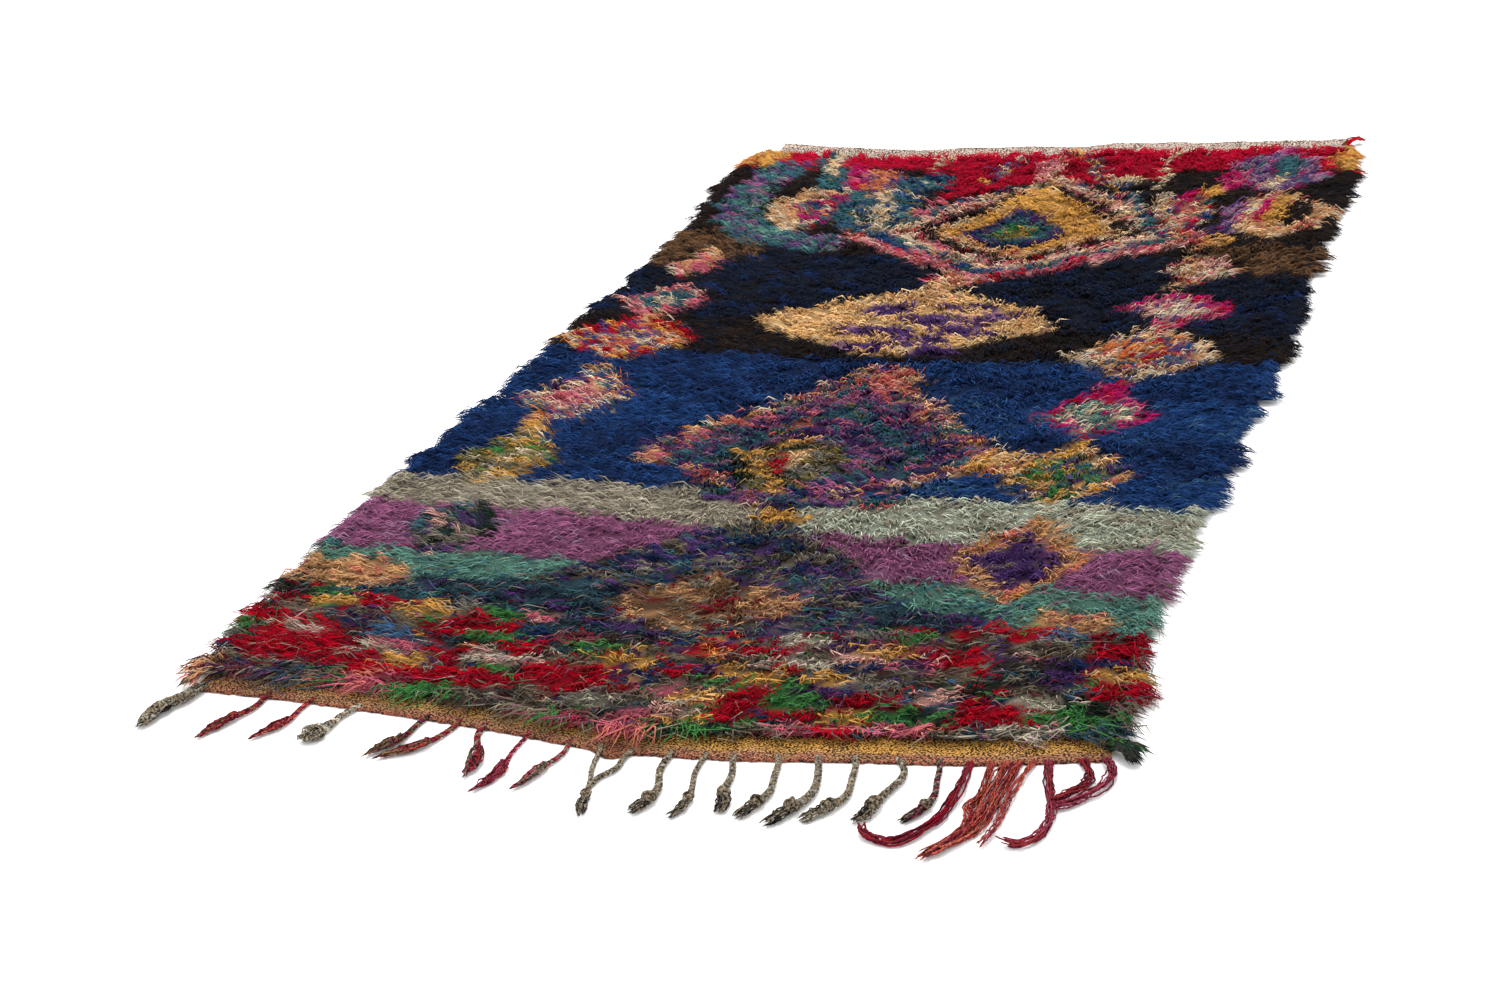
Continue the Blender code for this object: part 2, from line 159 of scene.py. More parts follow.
# What a place is knotted in: yarns and how often each comes up
MIXES = {
    "red field": {"scarlet": 9, "deep red": 1},
    "far dark": {"dark earth": 5, "black": 5},
    "brown": {"brown": 6, "dark earth": 2},
    "navy": {"navy": 9, "black": 2, "deep blue": 1},
    "black": {"black": 7, "dark earth": 4, "navy": 1},
    "blue": {"blue": 7, "deep blue": 3},
    "blue dark": {"deep blue": 6, "blue": 3},
    "blue pale": {"blue": 9, "sky": 1},
    "beige": {"beige": 8, "ash": 2, "grey": 1},
    "sage": {"sage": 8, "beige": 3},
    "mauve": {"mauve": 9, "pale mauve": 1},
    "teal": {"teal": 9, "sea": 1},
    "teal dark": {"deep teal": 5, "sea": 2, "navy": 2, "purple": 1},
    "tan": {"tan": 8, "salmon": 1, "straw": 1},
    "gold corner": {"gold": 6, "mustard": 4, "orange": 1},
    "straw": {"straw": 7, "pale straw": 4, "tan": 1},
    "violet fleck": {"violet": 8, "purple": 2, "pale mauve": 1},
    "pink line": {"pink": 5, "red": 2, "pale pink": 4, "coral": 2},
    "sea line": {"sea": 6, "blue": 3, "deep teal": 2, "tan": 1},
    "pale line": {"cream": 5, "pale straw": 2, "pale pink": 3, "tan": 2},
    "pink cream": {"pale pink": 4, "cream": 4, "pink": 4, "tan": 2, "red": 1},
    "black tan": {"black": 9, "dark earth": 2, "tan": 1},
    "gold": {"gold": 7, "mustard": 3, "straw": 1},
    "cream": {"cream": 7, "pale straw": 3, "tan": 1},
    "night": {"purple": 5, "deep blue": 4, "violet": 1},
    "sea core": {"sea": 5, "deep teal": 4, "teal": 2},
    "green core": {"green": 6, "olive": 2, "orange": 2, "gold": 1},
    "tan peach": {"tan": 6, "pale straw": 2, "coral": 1, "cream": 2},
    "flank": {"sea": 4, "blue": 3, "cream": 3, "olive": 2, "grey": 2, "tan": 2},
    "flank right": {"red": 3, "cream": 3, "blue": 3, "sea": 2, "tan": 3, "orange": 1},
    "arc": {"sea": 8, "teal": 3, "violet": 2, "mauve": 2},
    "ribbons": {"magenta": 4, "deep blue": 3, "sea": 3, "orange": 2, "cream": 1, "red": 1},
    "cream tan": {"cream": 5, "tan": 5, "pale straw": 1},
    "hot pink": {"magenta": 6, "pink": 2, "red": 1},
    "purple orange": {"violet": 4, "orange": 3, "tan": 2, "blue": 1},
    "sea navy": {"sea": 5, "deep blue": 4, "cream": 1},
    "sea": {"sea": 7, "deep teal": 2, "sky": 1},
    "lilac": {"violet": 4, "pale mauve": 4, "magenta": 1, "sea": 1},
    "stripes": {"blue": 3, "gold": 3, "cream": 2, "sea": 1},
    "rose tan": {"pink": 3, "tan": 4, "red": 1, "cream": 1},
    "rose": {"pink": 5, "pale pink": 3, "coral": 2, "cream": 1},
    "flame": {"red": 4, "orange": 4, "gold": 2, "violet": 2, "cream": 1},
    "many": {"violet": 3, "cream": 3, "sea": 2, "orange": 2, "tan": 2, "blue": 2, "coral": 2},
    "coral edge": {
        "coral": 3, "mauve": 3, "purple": 3, "pink": 1, "tan": 1, "sea": 2, "deep teal": 2,
        "deep blue": 1,
    },
    "fleck edge": {
        "tan": 3, "pale straw": 2, "cream": 2, "pale pink": 2, "purple": 3, "violet": 1, "gold": 1,
        "salmon": 2, "sea": 2, "coral": 1,
    },
    "coral heart": {"salmon": 5, "coral": 4, "tan": 2, "pale pink": 1},
    "low rim": {"violet": 3, "sea": 4, "mauve": 3, "deep teal": 2, "coral": 1},
    "mauve ring": {"mauve": 3, "purple": 4, "deep blue": 2, "pink": 1, "sea": 2},
    "sea ring": {"sea": 6, "deep teal": 4, "deep blue": 2, "coral": 1, "olive": 1},
    "dark heart": {"bottle": 5, "olive": 3, "grey": 2, "black": 1},
    "olive gold": {"olive": 5, "gold": 4, "green": 2, "cream": 2, "grey": 1},
    "grey brown": {"grey": 6, "brown": 3, "olive": 2},
    "lilac cream": {"cream": 4, "pale pink": 3, "violet": 3, "pink": 1},
    "sea cream": {"sea": 4, "cream": 4, "teal": 2, "magenta": 1},
    "gold tan": {
        "gold": 4, "tan": 3, "pale straw": 3, "mustard": 1, "violet": 1, "coral": 1, "sea": 1,
    },
    "gold green": {"gold": 2, "green": 3, "violet": 3, "sea": 4, "tan": 2},
    "dark specks": {"bottle": 5, "grey": 3, "pale pink": 1, "violet": 2, "sea": 2},
    "orange tan": {"tan": 6, "orange": 1, "salmon": 3, "mustard": 2},
    "purple": {"purple": 5, "violet": 4, "pepper": 2},
    "night flecks": {
        "purple": 4, "violet": 3, "deep blue": 3, "deep teal": 5, "pepper": 4, "grey": 2,
        "soot": 2, "sea": 2,
    },
    "umber": {"brown": 4, "tan": 4, "grey": 2, "deep red": 1},
    "patches": {
        "red": 9, "deep red": 3, "green": 8, "gold": 3, "pepper": 9, "grey": 5, "deep blue": 5,
        "sky": 2, "purple": 5, "pink": 2, "pale pink": 3, "bottle": 4, "soot": 5, "deep teal": 5,
        "ash": 2, "rose red": 2,
    },
    "near tufts": {
        "soot": 5, "pepper": 6, "rose red": 3, "green": 3, "purple": 3, "deep teal": 4, "pink": 2,
        "bottle": 3, "red": 2,
    },
    "red": {"red": 9, "deep red": 2},
    "green": {"green": 8, "bottle": 1},
    "grey": {"grey": 7, "ash": 2},
    "pale": {"ash": 4, "pale pink": 3, "grey": 2},
    "soft pink": {"pink": 4, "rose red": 2, "salmon": 2},
    "grey frizz": {"pepper": 5, "grey": 3, "soot": 3, "purple": 1, "wine": 1},
    "dusk frizz": {
        "soot": 4, "purple": 3, "navy": 3, "pepper": 3, "wine": 2, "deep teal": 2, "orange": 1,
    },
    "rust frizz": {"salmon": 3, "rust": 2, "tan": 2, "pepper": 2},
    "bottle": {"bottle": 8, "black": 3},
}

# The ground's bands from the far end: the line that each ends on, and its yarns left and right of
# the middle
Band = namedtuple("Band", "ends_on left right")
BANDS = (
    Band(
        ((-0.60, 1.07), (-0.35, 1.05), (-0.22, 1.05), (-0.15, 1.02), (-0.13, 0.86), (-0.06, 0.90),
         (0.0, 0.97), (0.12, 0.98), (0.25, 1.00), (0.28, 1.08), (0.60, 1.07)),
        "red field", "red field",
    ),
    Band(
        ((-0.60, 0.64), (-0.40, 0.60), (-0.30, 0.50), (0.40, 0.50), (0.60, 0.58)),
        "far dark", "far dark",
    ),
    Band(((-0.60, 0.15), (0.0, 0.13), (0.60, 0.11)), "navy", "navy"),
    Band(((-0.60, -0.03), (0.0, -0.05), (0.60, -0.02)), "black", "black"),
    Band(((-0.60, -0.11), (0.60, -0.10)), "blue dark", "blue"),
    Band(((-0.60, -0.20), (0.60, -0.21)), "blue dark", "blue dark"),
    Band(((-0.60, -0.38), (0.60, -0.36)), "blue", "blue pale"),
    Band(((-0.60, -0.52), (0.60, -0.50)), "blue dark", "blue dark"),
    Band(((-0.60, -0.605), (0.60, -0.60)), "blue dark", "blue pale"),
    Band(((-0.60, -0.70), (-0.2, -0.72), (0.1, -0.745), (0.60, -0.745)), "beige", "sage"),
    Band(((-0.60, -0.86), (0.0, -0.87), (0.60, -0.88)), "mauve", "mauve"),
    Band(((-0.60, -0.985), (0.0, -1.00), (0.60, -1.02)), "teal", "teal"),
)
PATCHWORK_FROM = -0.995

# Lozenges and patches: centre, how far each reaches left, right, up and down, and how square it is
# from 1 for a lozenge, and its yarns. Each is knotted over the ones before it.
Shape = namedtuple("Shape", "x y left right up down square mix")


def patch(x, y, half_x, half_y, mix):
    """A rounded patch."""
    return Shape(x, y, half_x, half_x, half_y, half_y, 3.0, mix)


def patches(mix, *places):
    """Several patches of one mix: the centres and half sizes of each."""
    return [patch(*place, mix) for place in places]


def lozenge(x, y, half_x, half_y, mix):
    """An even lozenge."""
    return Shape(x, y, half_x, half_x, half_y, half_y, 1.15, mix)


SHAPES = (
    # the far end's ground
    patch(-0.57, 1.15, 0.042, 0.075, "gold corner"),
    patch(0.605, 1.15, 0.045, 0.075, "gold corner"),
    patch(-0.50, 0.52, 0.12, 0.11, "brown"),
    patch(0.53, 0.50, 0.12, 0.08, "brown"),
    patch(-0.41, 0.985, 0.055, 0.06, "far dark"),
    # the arc and the blocks at the far left
    Shape(-0.37, 0.79, 0.090, 0.12, 0.15, 0.17, 1.2, "cream tan"),
    Shape(-0.34, 0.79, 0.065, 0.09, 0.105, 0.14, 1.2, "ribbons"),
    patch(-0.34, 0.975, 0.040, 0.070, "hot pink"),
    patch(-0.27, 0.965, 0.038, 0.070, "purple orange"),
    patch(-0.185, 0.955, 0.052, 0.065, "sea navy"),
    # the great nested lozenge
    Shape(0.065, 0.62, 0.345, 0.350, 0.40, 0.265, 1.03, "pink line"),
    Shape(0.065, 0.63, 0.305, 0.310, 0.40, 0.245, 1.0, "sea line"),
    patch(-0.225, 0.77, 0.070, 0.13, "flank"),
    Shape(0.065, 0.64, 0.265, 0.275, 0.395, 0.225, 1.0, "pale line"),
    Shape(0.065, 0.64, 0.230, 0.240, 0.355, 0.200, 1.0, "pink line"),
    patch(0.335, 0.77, 0.045, 0.13, "flank right"),
    Shape(0.065, 0.645, 0.208, 0.226, 0.350, 0.185, 1.0, "black tan"),
    Shape(0.065, 0.645, 0.160, 0.185, 0.310, 0.155, 1.0, "tan peach"),
    Shape(0.060, 0.645, 0.130, 0.170, 0.31, 0.125, 1.05, "gold"),
    Shape(0.055, 0.63, 0.090, 0.100, 0.165, 0.090, 1.1, "night"),
    Shape(0.055, 0.635, 0.066, 0.072, 0.115, 0.068, 1.2, "sea core"),
    Shape(0.050, 0.64, 0.038, 0.040, 0.065, 0.048, 1.6, "green core"),
    patch(0.20, 1.00, 0.028, 0.030, "cream"),
    Shape(0.035, 1.06, 0.028, 0.032, 0.11, 0.09, 1.2, "rose"),
    Shape(0.0, 0.36, 0.045, 0.045, 0.05, 0.05, 1.2, "rose tan"),
    # the far right's two motifs
    Shape(0.47, 1.03, 0.105, 0.100, 0.19, 0.11, 1.3, "lilac"),
    patch(0.395, 1.00, 0.026, 0.070, "hot pink"),
    Shape(0.485, 1.08, 0.026, 0.026, 0.14, 0.11, 1.3, "sea"),
    Shape(0.475, 0.98, 0.018, 0.020, 0.07, 0.04, 1.3, "cream"),
    Shape(0.50, 0.78, 0.10, 0.105, 0.14, 0.15, 1.4, "tan peach"),
    patch(0.425, 0.75, 0.024, 0.09, "lilac"),
    patch(0.453, 0.79, 0.014, 0.085, "cream"),
    patch(0.476, 0.80, 0.013, 0.09, "hot pink"),
    patch(0.503, 0.80, 0.018, 0.09, "gold"),
    patch(0.540, 0.79, 0.022, 0.07, "far dark"),
    patch(0.365, 0.92, 0.018, 0.03, "gold"),
    patch(0.42, 0.62, 0.022, 0.035, "gold"),
    # the straw lozenge
    Shape(-0.02, 0.135, 0.258, 0.256, 0.185, 0.165, 1.2, "straw"),
    *patches(
        "violet fleck",
        (-0.06, 0.20, 0.046, 0.026), (0.06, 0.222, 0.050, 0.017), (0.13, 0.180, 0.034, 0.018),
        (0.05, 0.148, 0.085, 0.020), (-0.06, 0.09, 0.070, 0.020), (0.09, 0.095, 0.060, 0.021),
        (0.03, 0.052, 0.055, 0.018), (-0.05, 0.015, 0.050, 0.018), (0.06, 0.005, 0.040, 0.016),
    ),
    # the coral lozenge below it
    Shape(0.0, -0.46, 0.28, 0.30, 0.38, 0.225, 1.0, "fleck edge"),
    Shape(0.015, -0.150, 0.070, 0.075, 0.085, 0.085, 1.7, "fleck edge"),
    Shape(0.0, -0.46, 0.245, 0.255, 0.345, 0.195, 1.0, "coral edge"),
    patch(0.025, -0.150, 0.024, 0.055, "coral heart"),
    patch(0.265, -0.46, 0.035, 0.045, "gold tan"),
    patch(-0.240, -0.49, 0.026, 0.026, "rose tan"),
    Shape(0.0, -0.46, 0.205, 0.215, 0.285, 0.17, 1.05, "mauve ring"),
    Shape(0.0, -0.46, 0.165, 0.17, 0.22, 0.14, 1.05, "sea ring"),
    Shape(0.0, -0.46, 0.135, 0.14, 0.165, 0.125, 1.1, "mauve ring"),
    Shape(-0.04, -0.49, 0.095, 0.105, 0.095, 0.125, 1.5, "dark heart"),
    Shape(0.01, -0.48, 0.050, 0.045, 0.060, 0.065, 1.6, "grey brown"),
    patch(-0.030, -0.475, 0.014, 0.045, "tan peach"),
    # the dark triangle and its brown heart
    Shape(0.0, -1.00, 0.30, 0.30, 0.32, 0.10, 1.05, "night flecks"),
    patch(-0.24, -0.985, 0.22, 0.045, "teal dark"),
    patch(0.28, -0.985, 0.10, 0.025, "teal dark"),
    Shape(-0.01, -0.985, 0.12, 0.12, 0.10, 0.08, 1.3, "umber"),
    Shape(0.10, -0.97, 0.03, 0.03, 0.03, 0.04, 1.3, "tan"),
    # the tan blocks in the teal
    patch(-0.535, -0.945, 0.095, 0.042, "tan"),
    patch(0.475, -0.965, 0.055, 0.026, "tan"),
    # the small lozenges down the left
    Shape(-0.48, 0.42, 0.045, 0.05, 0.09, 0.09, 1.2, "rose tan"),
    lozenge(-0.47, 0.22, 0.085, 0.10, "rose"),
    lozenge(-0.47, 0.22, 0.055, 0.065, "sea"),
    lozenge(-0.47, 0.215, 0.022, 0.03, "cream"),
    lozenge(-0.46, 0.02, 0.125, 0.11, "flame"),
    lozenge(-0.46, 0.015, 0.075, 0.06, "many"),
    lozenge(-0.45, -0.26, 0.095, 0.14, "many"),
    lozenge(-0.46, -0.27, 0.055, 0.065, "rose"),
    lozenge(-0.46, -0.41, 0.025, 0.035, "gold"),
    lozenge(-0.46, -0.53, 0.088, 0.11, "olive gold"),
    lozenge(-0.43, -0.79, 0.075, 0.10, "dark specks"),
    # and down the right
    lozenge(0.42, 0.45, 0.062, 0.082, "pink cream"),
    lozenge(0.41, 0.228, 0.095, 0.085, "hot pink"),
    lozenge(0.40, 0.218, 0.068, 0.062, "lilac cream"),
    lozenge(0.395, 0.01, 0.122, 0.115, "cream tan"),
    lozenge(0.395, 0.01, 0.095, 0.088, "many"),
    lozenge(0.385, 0.025, 0.060, 0.055, "flame"),
    lozenge(0.37, -0.26, 0.082, 0.10, "hot pink"),
    lozenge(0.37, -0.265, 0.062, 0.075, "sea cream"),
    lozenge(0.37, -0.49, 0.095, 0.12, "gold tan"),
    lozenge(0.37, -0.49, 0.070, 0.095, "gold green"),
    lozenge(0.37, -0.79, 0.092, 0.14, "orange tan"),
    lozenge(0.37, -0.80, 0.062, 0.09, "purple"),
    # the patchwork's larger pieces
    *patches(
        "red",
        (-0.50, -1.115, 0.055, 0.020), (-0.49, -1.175, 0.085, 0.042), (-0.37, -1.215, 0.075, 0.036),
        (-0.25, -1.165, 0.060, 0.020), (-0.23, -1.225, 0.070, 0.026), (-0.10, -1.205, 0.060, 0.040),
        (-0.27, -1.085, 0.050, 0.030),
    ),
    patch(-0.45, -1.245, 0.070, 0.020, "dusk frizz"),
    *patches(
        "grey frizz",
        (-0.40, -1.075, 0.050, 0.020), (-0.52, -1.075, 0.040, 0.016), (-0.15, -1.265, 0.050, 0.016),
    ),
    patch(-0.500, -1.034, 0.035, 0.014, "gold"),
    patch(-0.570, -1.016, 0.030, 0.018, "bottle"),
    patch(-0.550, -1.062, 0.045, 0.016, "grey frizz"),
    patch(-0.500, -1.130, 0.028, 0.010, "pale"),
    patch(-0.44, -1.03, 0.030, 0.016, "red"),
    patch(-0.36, -1.045, 0.035, 0.016, "gold"),
    patch(-0.33, -1.195, 0.022, 0.020, "gold"),
    patch(-0.38, -1.17, 0.040, 0.013, "pale"),
    patch(-0.20, -1.17, 0.055, 0.016, "pale"),
    patch(-0.24, -1.11, 0.040, 0.016, "green"),
    patch(-0.10, -1.12, 0.030, 0.016, "green"),
    patch(0.06, -1.10, 0.025, 0.040, "flame"),
    *patches(
        "gold",
        (0.12, -1.165, 0.040, 0.020), (0.07, -1.235, 0.032, 0.022), (0.27, -1.085, 0.030, 0.016),
    ),
    patch(0.06, -1.27, 0.030, 0.014, "pale"),
    patch(0.13, -1.24, 0.030, 0.040, "red"),
    patch(0.20, -1.225, 0.040, 0.025, "green"),
    patch(0.27, -1.22, 0.022, 0.020, "red"),
    patch(0.33, -1.25, 0.050, 0.020, "green"),
    patch(0.43, -1.23, 0.050, 0.042, "red"),
    patch(0.53, -1.225, 0.050, 0.020, "green"),
    patch(0.57, -1.105, 0.040, 0.014, "gold"),
    patch(0.57, -1.145, 0.045, 0.022, "red"),
    patch(0.55, -1.04, 0.030, 0.025, "red"),
    patch(0.40, -1.050, 0.090, 0.020, "grey frizz"),
    patch(0.36, -1.085, 0.030, 0.014, "red"),
    patch(0.30, -1.150, 0.050, 0.020, "grey frizz"),
    patch(0.47, -1.150, 0.050, 0.022, "grey frizz"),
    patch(0.49, -1.27, 0.060, 0.013, "grey"),
    patch(0.585, -1.28, 0.030, 0.022, "bottle"),
    patch(-0.05, -1.26, 0.040, 0.025, "grey"),
    patch(-0.55, -1.25, 0.060, 0.040, "dusk frizz"),
    patch(-0.580, -1.25, 0.020, 0.030, "rust frizz"),
    patch(0.02, -1.305, 0.036, 0.030, "soft pink"),
    patch(-0.33, -1.255, 0.034, 0.026, "soft pink"),
    patch(-0.26, -1.265, 0.042, 0.022, "green"),
    patch(0.075, -1.31, 0.026, 0.016, "green"),
    patch(0.30, -1.285, 0.10, 0.010, "soft pink"),
)

# Stripes knotted over the shapes: the line each follows, half its width, and its yarns
Stripe = namedtuple("Stripe", "line half mix")
STRIPES = (
    Stripe(
        ((-0.50, 1.05), (-0.525, 0.90), (-0.525, 0.80), (-0.49, 0.70), (-0.42, 0.60), (-0.29, 0.555)),
        0.046, "arc",
    ),
    Stripe(((-0.42, 1.21), (-0.415, 1.10), (-0.385, 1.00), (-0.37, 0.92)), 0.028, "sea"),
    Stripe(((-0.418, 1.18), (-0.41, 1.08), (-0.385, 1.00)), 0.011, "cream"),
    Stripe(((-0.035, 1.13), (-0.055, 1.06), (-0.08, 0.97)), 0.008, "stripes"),
    Stripe(
        ((0.07, 1.19), (0.11, 1.11), (0.15, 1.02), (0.19, 0.93), (0.24, 0.82)), 0.008, "stripes",
    ),
    Stripe(((0.27, 1.20), (0.25, 1.12), (0.26, 1.02), (0.255, 0.93)), 0.005, "cream"),
    Stripe(((-0.18, 1.15), (-0.20, 1.07)), 0.006, "cream"),
    Stripe(((-0.30, 0.90), (-0.295, 0.75), (-0.26, 0.64)), 0.013, "sea"),
    Stripe(((-0.24, 0.88), (-0.23, 0.75), (-0.21, 0.66)), 0.012, "cream"),
    Stripe(((-0.16, 0.93), (-0.20, 0.83), (-0.19, 0.70)), 0.012, "sea navy"),
    Stripe(((0.28, 0.92), (0.29, 0.80), (0.33, 0.70)), 0.011, "cream"),
    Stripe(((0.22, 0.90), (0.25, 0.80), (0.30, 0.68)), 0.011, "sea navy"),
    Stripe(((0.32, 0.90), (0.33, 0.80), (0.36, 0.70)), 0.010, "hot pink"),
    Stripe(((0.42, 0.62), (0.39, 0.52), (0.39, 0.34)), 0.010, "tan peach"),
    Stripe(((-0.11, -0.615), (-0.056, -0.630), (0.043, -0.635), (0.142, -0.622)), 0.018, "low rim"),
    Stripe(((-0.107, -0.450), (-0.061, -0.540), (-0.020, -0.598)), 0.013, "gold"),
    Stripe(((-0.066, -0.415), (-0.026, -0.400)), 0.013, "gold"),
    Stripe(((-0.053, -0.455), (-0.034, -0.540)), 0.008, "red"),
    Stripe(((0.0, 0.34), (0.0, 0.28)), 0.030, "tan peach"),
    Stripe(((-0.46, 0.14), (-0.46, 0.10)), 0.010, "tan"),
    Stripe(((0.39, 0.16), (0.395, 0.10)), 0.010, "pink cream"),
    Stripe(((0.375, -0.14), (0.375, -0.20)), 0.020, "hot pink"),
    Stripe(((0.37, -0.37), (0.37, -0.41)), 0.012, "gold"),
    Stripe(((0.01, -0.66), (0.0, -0.78)), 0.030, "night flecks"),
    Stripe(((-0.004, -0.692), (0.030, -0.690)), 0.019, "gold corner"),
)

NEAR_TUFTS = 0.004  # depth of the last rows, which are tied in odd yarns
RUN_ROW = 0.022  # neighbouring knots that share a yarn
RUN_LENGTH = 0.036
PATCH_ROW = 0.031
PATCH_WIDTH = 0.062
PATCH_TRUE = 0.84  # share of a patch's knots that are of its own yarn
FRIZZ_TO = -0.84  # stray threads lie over the pile up to here
FRIZZ_SHARE = 0.14  # of the bent strands there
FRIZZ_REACH = 0.052  # at most
FRIZZ_WIDTH = 0.55  # as a share of a strand's own
FRIZZ_YARNS = ("pepper", "grey", "soot", "wine", "mauve", "beige")

LINE_PLACES = 44  # points along a warp or a hank
WARP_SWAY = 0.0042
FRAYED_WIDTH = 0.0019  # of single yarns
LOOSE_WIDTH = 0.0021
TUFT_WIDTH = 0.0024

# The fringe: where each warp leaves the hem, a third and two thirds of the way along, its tip, its
# thickness, how it ends, and its yarns
Warp = namedtuple("Warp", "root_x third_x two_thirds_x tip_x tip_y thick ending yarns")
SALTED = ("pepper", "grey", "pepper")
WARPS = (
    Warp(-0.570, -0.580, -0.592, -0.602, -1.405, 0.020, "tail", ("pepper", "grey", "pepper")),
    Warp(-0.475, -0.480, -0.495, -0.512, -1.417, 0.012, "tassel", ("brick", "wine", "brown")),
    Warp(-0.411, -0.414, -0.424, -0.442, -1.406, 0.010, "tassel", ("brick", "wine", "rust")),
    Warp(-0.342, -0.350, -0.361, -0.374, -1.400, 0.013, "ball", ("grey", "pepper", "beige")),
    Warp(-0.244, -0.249, -0.262, -0.278, -1.428, 0.011, "tassel", ("wine", "brown", "soot")),
    Warp(-0.200, -0.204, -0.232, -0.268, -1.430, 0.011, "tassel", ("brick", "brown", "wine")),
    Warp(-0.164, -0.155, -0.141, -0.133, -1.456, 0.013, "tassel", ("wine", "brick", "pepper")),
    Warp(-0.103, -0.100, -0.104, -0.119, -1.487, 0.009, "tassel", ("rose red", "wine", "brick")),
    Warp(-0.046, -0.044, -0.054, -0.075, -1.472, 0.010, "tassel", ("rose red", "pepper", "brick")),
    Warp(-0.003, 0.009, 0.018, 0.036, -1.513, 0.009, "knot", SALTED),
    Warp(0.040, 0.036, 0.028, 0.022, -1.440, 0.009, "joining", SALTED),
    Warp(0.088, 0.092, 0.098, 0.086, -1.500, 0.012, "knot", SALTED),
    Warp(0.129, 0.134, 0.139, 0.132, -1.500, 0.0095, "knot", SALTED),
    Warp(0.163, 0.172, 0.184, 0.182, -1.482, 0.0115, "knot", SALTED),
    Warp(0.214, 0.227, 0.224, 0.212, -1.490, 0.0115, "knot", SALTED),
    Warp(0.260, 0.276, 0.270, 0.246, -1.500, 0.013, "knot", SALTED),
    Warp(0.303, 0.317, 0.311, 0.280, -1.484, 0.0115, "knot", SALTED),
    Warp(0.353, 0.369, 0.360, 0.338, -1.476, 0.012, "knot", SALTED),
    Warp(0.400, 0.413, 0.410, 0.390, -1.467, 0.010, "knot", ("pepper", "wine", "soot")),
)

# The loose yarns at the fringe's right end, which lie in loops and over one another
Hank = namedtuple("Hank", "line root_x strands spread yarns")
HANKS = (
    Hank(
        ((0.437, -1.400), (0.428, -1.462), (0.398, -1.507), (0.362, -1.500), (0.352, -1.478)),
        0.437, 16, 0.0110, ("deep red", "wine", "brick", "wine"),
    ),
    Hank(
        ((0.465, -1.385), (0.459, -1.419), (0.466, -1.445), (0.462, -1.480), (0.430, -1.535)),
        0.460, 11, 0.0100, ("rust", "brick", "rust"),
    ),
    Hank(
        ((0.474, -1.385), (0.474, -1.452), (0.452, -1.499), (0.434, -1.542)),
        0.478, 13, 0.0130, ("terracotta", "rust", "wine", "rust"),
    ),
    Hank(
        ((0.488, -1.383), (0.482, -1.442), (0.462, -1.493), (0.440, -1.533)),
        0.493, 13, 0.0130, ("rust", "brick", "terracotta", "wine"),
    ),
    Hank(
        ((0.497, -1.395), (0.499, -1.444), (0.490, -1.505)),
        0.508, 9, 0.0090, ("rust", "rose red", "rust"),
    ),
    Hank(
        ((0.538, -1.36), (0.550, -1.41), (0.553, -1.44), (0.546, -1.468), (0.530, -1.489), (0.503, -1.481)),
        0.525, 15, 0.0110, ("wine", "brick", "rose red"),
    ),
    Hank(((0.577, -1.331), (0.568, -1.364), (0.543, -1.399)), 0.560, 14, 0.0115, ("wine", "brick")),
    Hank(
        ((0.600, -1.322), (0.589, -1.361), (0.568, -1.392), (0.543, -1.405)),
        0.586, 14, 0.0110, ("wine", "rose red"),
    ),
)

# The tufts at three corners: root, tip and yarns
CORNER_TUFTS = (
    ((0.583, 1.300), (0.612, 1.334), ("deep red", "red", "brown")),
    ((0.585, -1.258), (0.628, -1.270), ("bottle", "bottle", "green", "soot")),
    ((0.590, -1.262), (0.622, -1.296), ("bottle", "soot", "bottle")),
    ((-0.572, -1.240), (-0.596, -1.288), ("salmon", "rust", "tan", "pepper")),
)

# The pile's pieces, from the near end, each up to this place along the rug
PILE_PIECES = (
    ("pile_patchwork", -0.99),
    ("pile_lilac_bands", -0.60),
    ("pile_blue_band", -0.04),
    ("pile_dark_band", 0.48),
    ("pile_great_lozenge", 0.86),
    ("pile_red_band", 2.0),
)


def linear(yarn):
    """A yarn's colour as the light that it reflects."""
    screen = np.array(YARNS[yarn]) / 255
    return np.where(screen > 0.04045, ((screen + 0.055) / 1.055) ** 2.4, screen / 12.92)


def smooth_between(table, column, at):
    """A table's column at places on one smooth curve through its rows."""
    places, values = table[:, 0], table[:, column]
    at = np.clip(at, places[0], places[-1])
    i = np.clip(np.searchsorted(places, at, side="right") - 1, 0, len(places) - 2)
    low = np.maximum(np.arange(len(places)) - 1, 0)
    high = np.minimum(np.arange(len(places)) + 1, len(places) - 1)
    slopes = (values[high] - values[low]) / (places[high] - places[low])
    span = places[i + 1] - places[i]
    t = (at - places[i]) / span
    return (
        values[i] * (1 + 2 * t) * (1 - t) ** 2
        + values[i + 1] * t * t * (3 - 2 * t)
        + slopes[i] * span * t * (1 - t) ** 2
        - slopes[i + 1] * span * t * t * (1 - t)
    )


def near_edge(x):
    """Where the near end's outer edge runs."""
    return smooth_between(ENDS, 1, x)


def far_edge(x):
    """Where the far end's outer edge runs."""
    return smooth_between(ENDS, 2, x)


def selvedges(across, along):
    """A place across the rug, between its two selvedges."""
    mid_y = SIDES[0, 0] * (1 - along) + SIDES[-1, 0] * along
    left = smooth_between(SIDES, 1, mid_y)
    right = smooth_between(SIDES, 2, mid_y)
    return left + (right - left) * across


def under_pile(across, along):
    """A point of the ground cloth under the pile, from its shares across and along."""
    x = selvedges(across, along)
    y = (near_edge(x) + NEAR_WEAVE) * (1 - along) + (far_edge(x) - FAR_WEAVE) * along
    return x, y


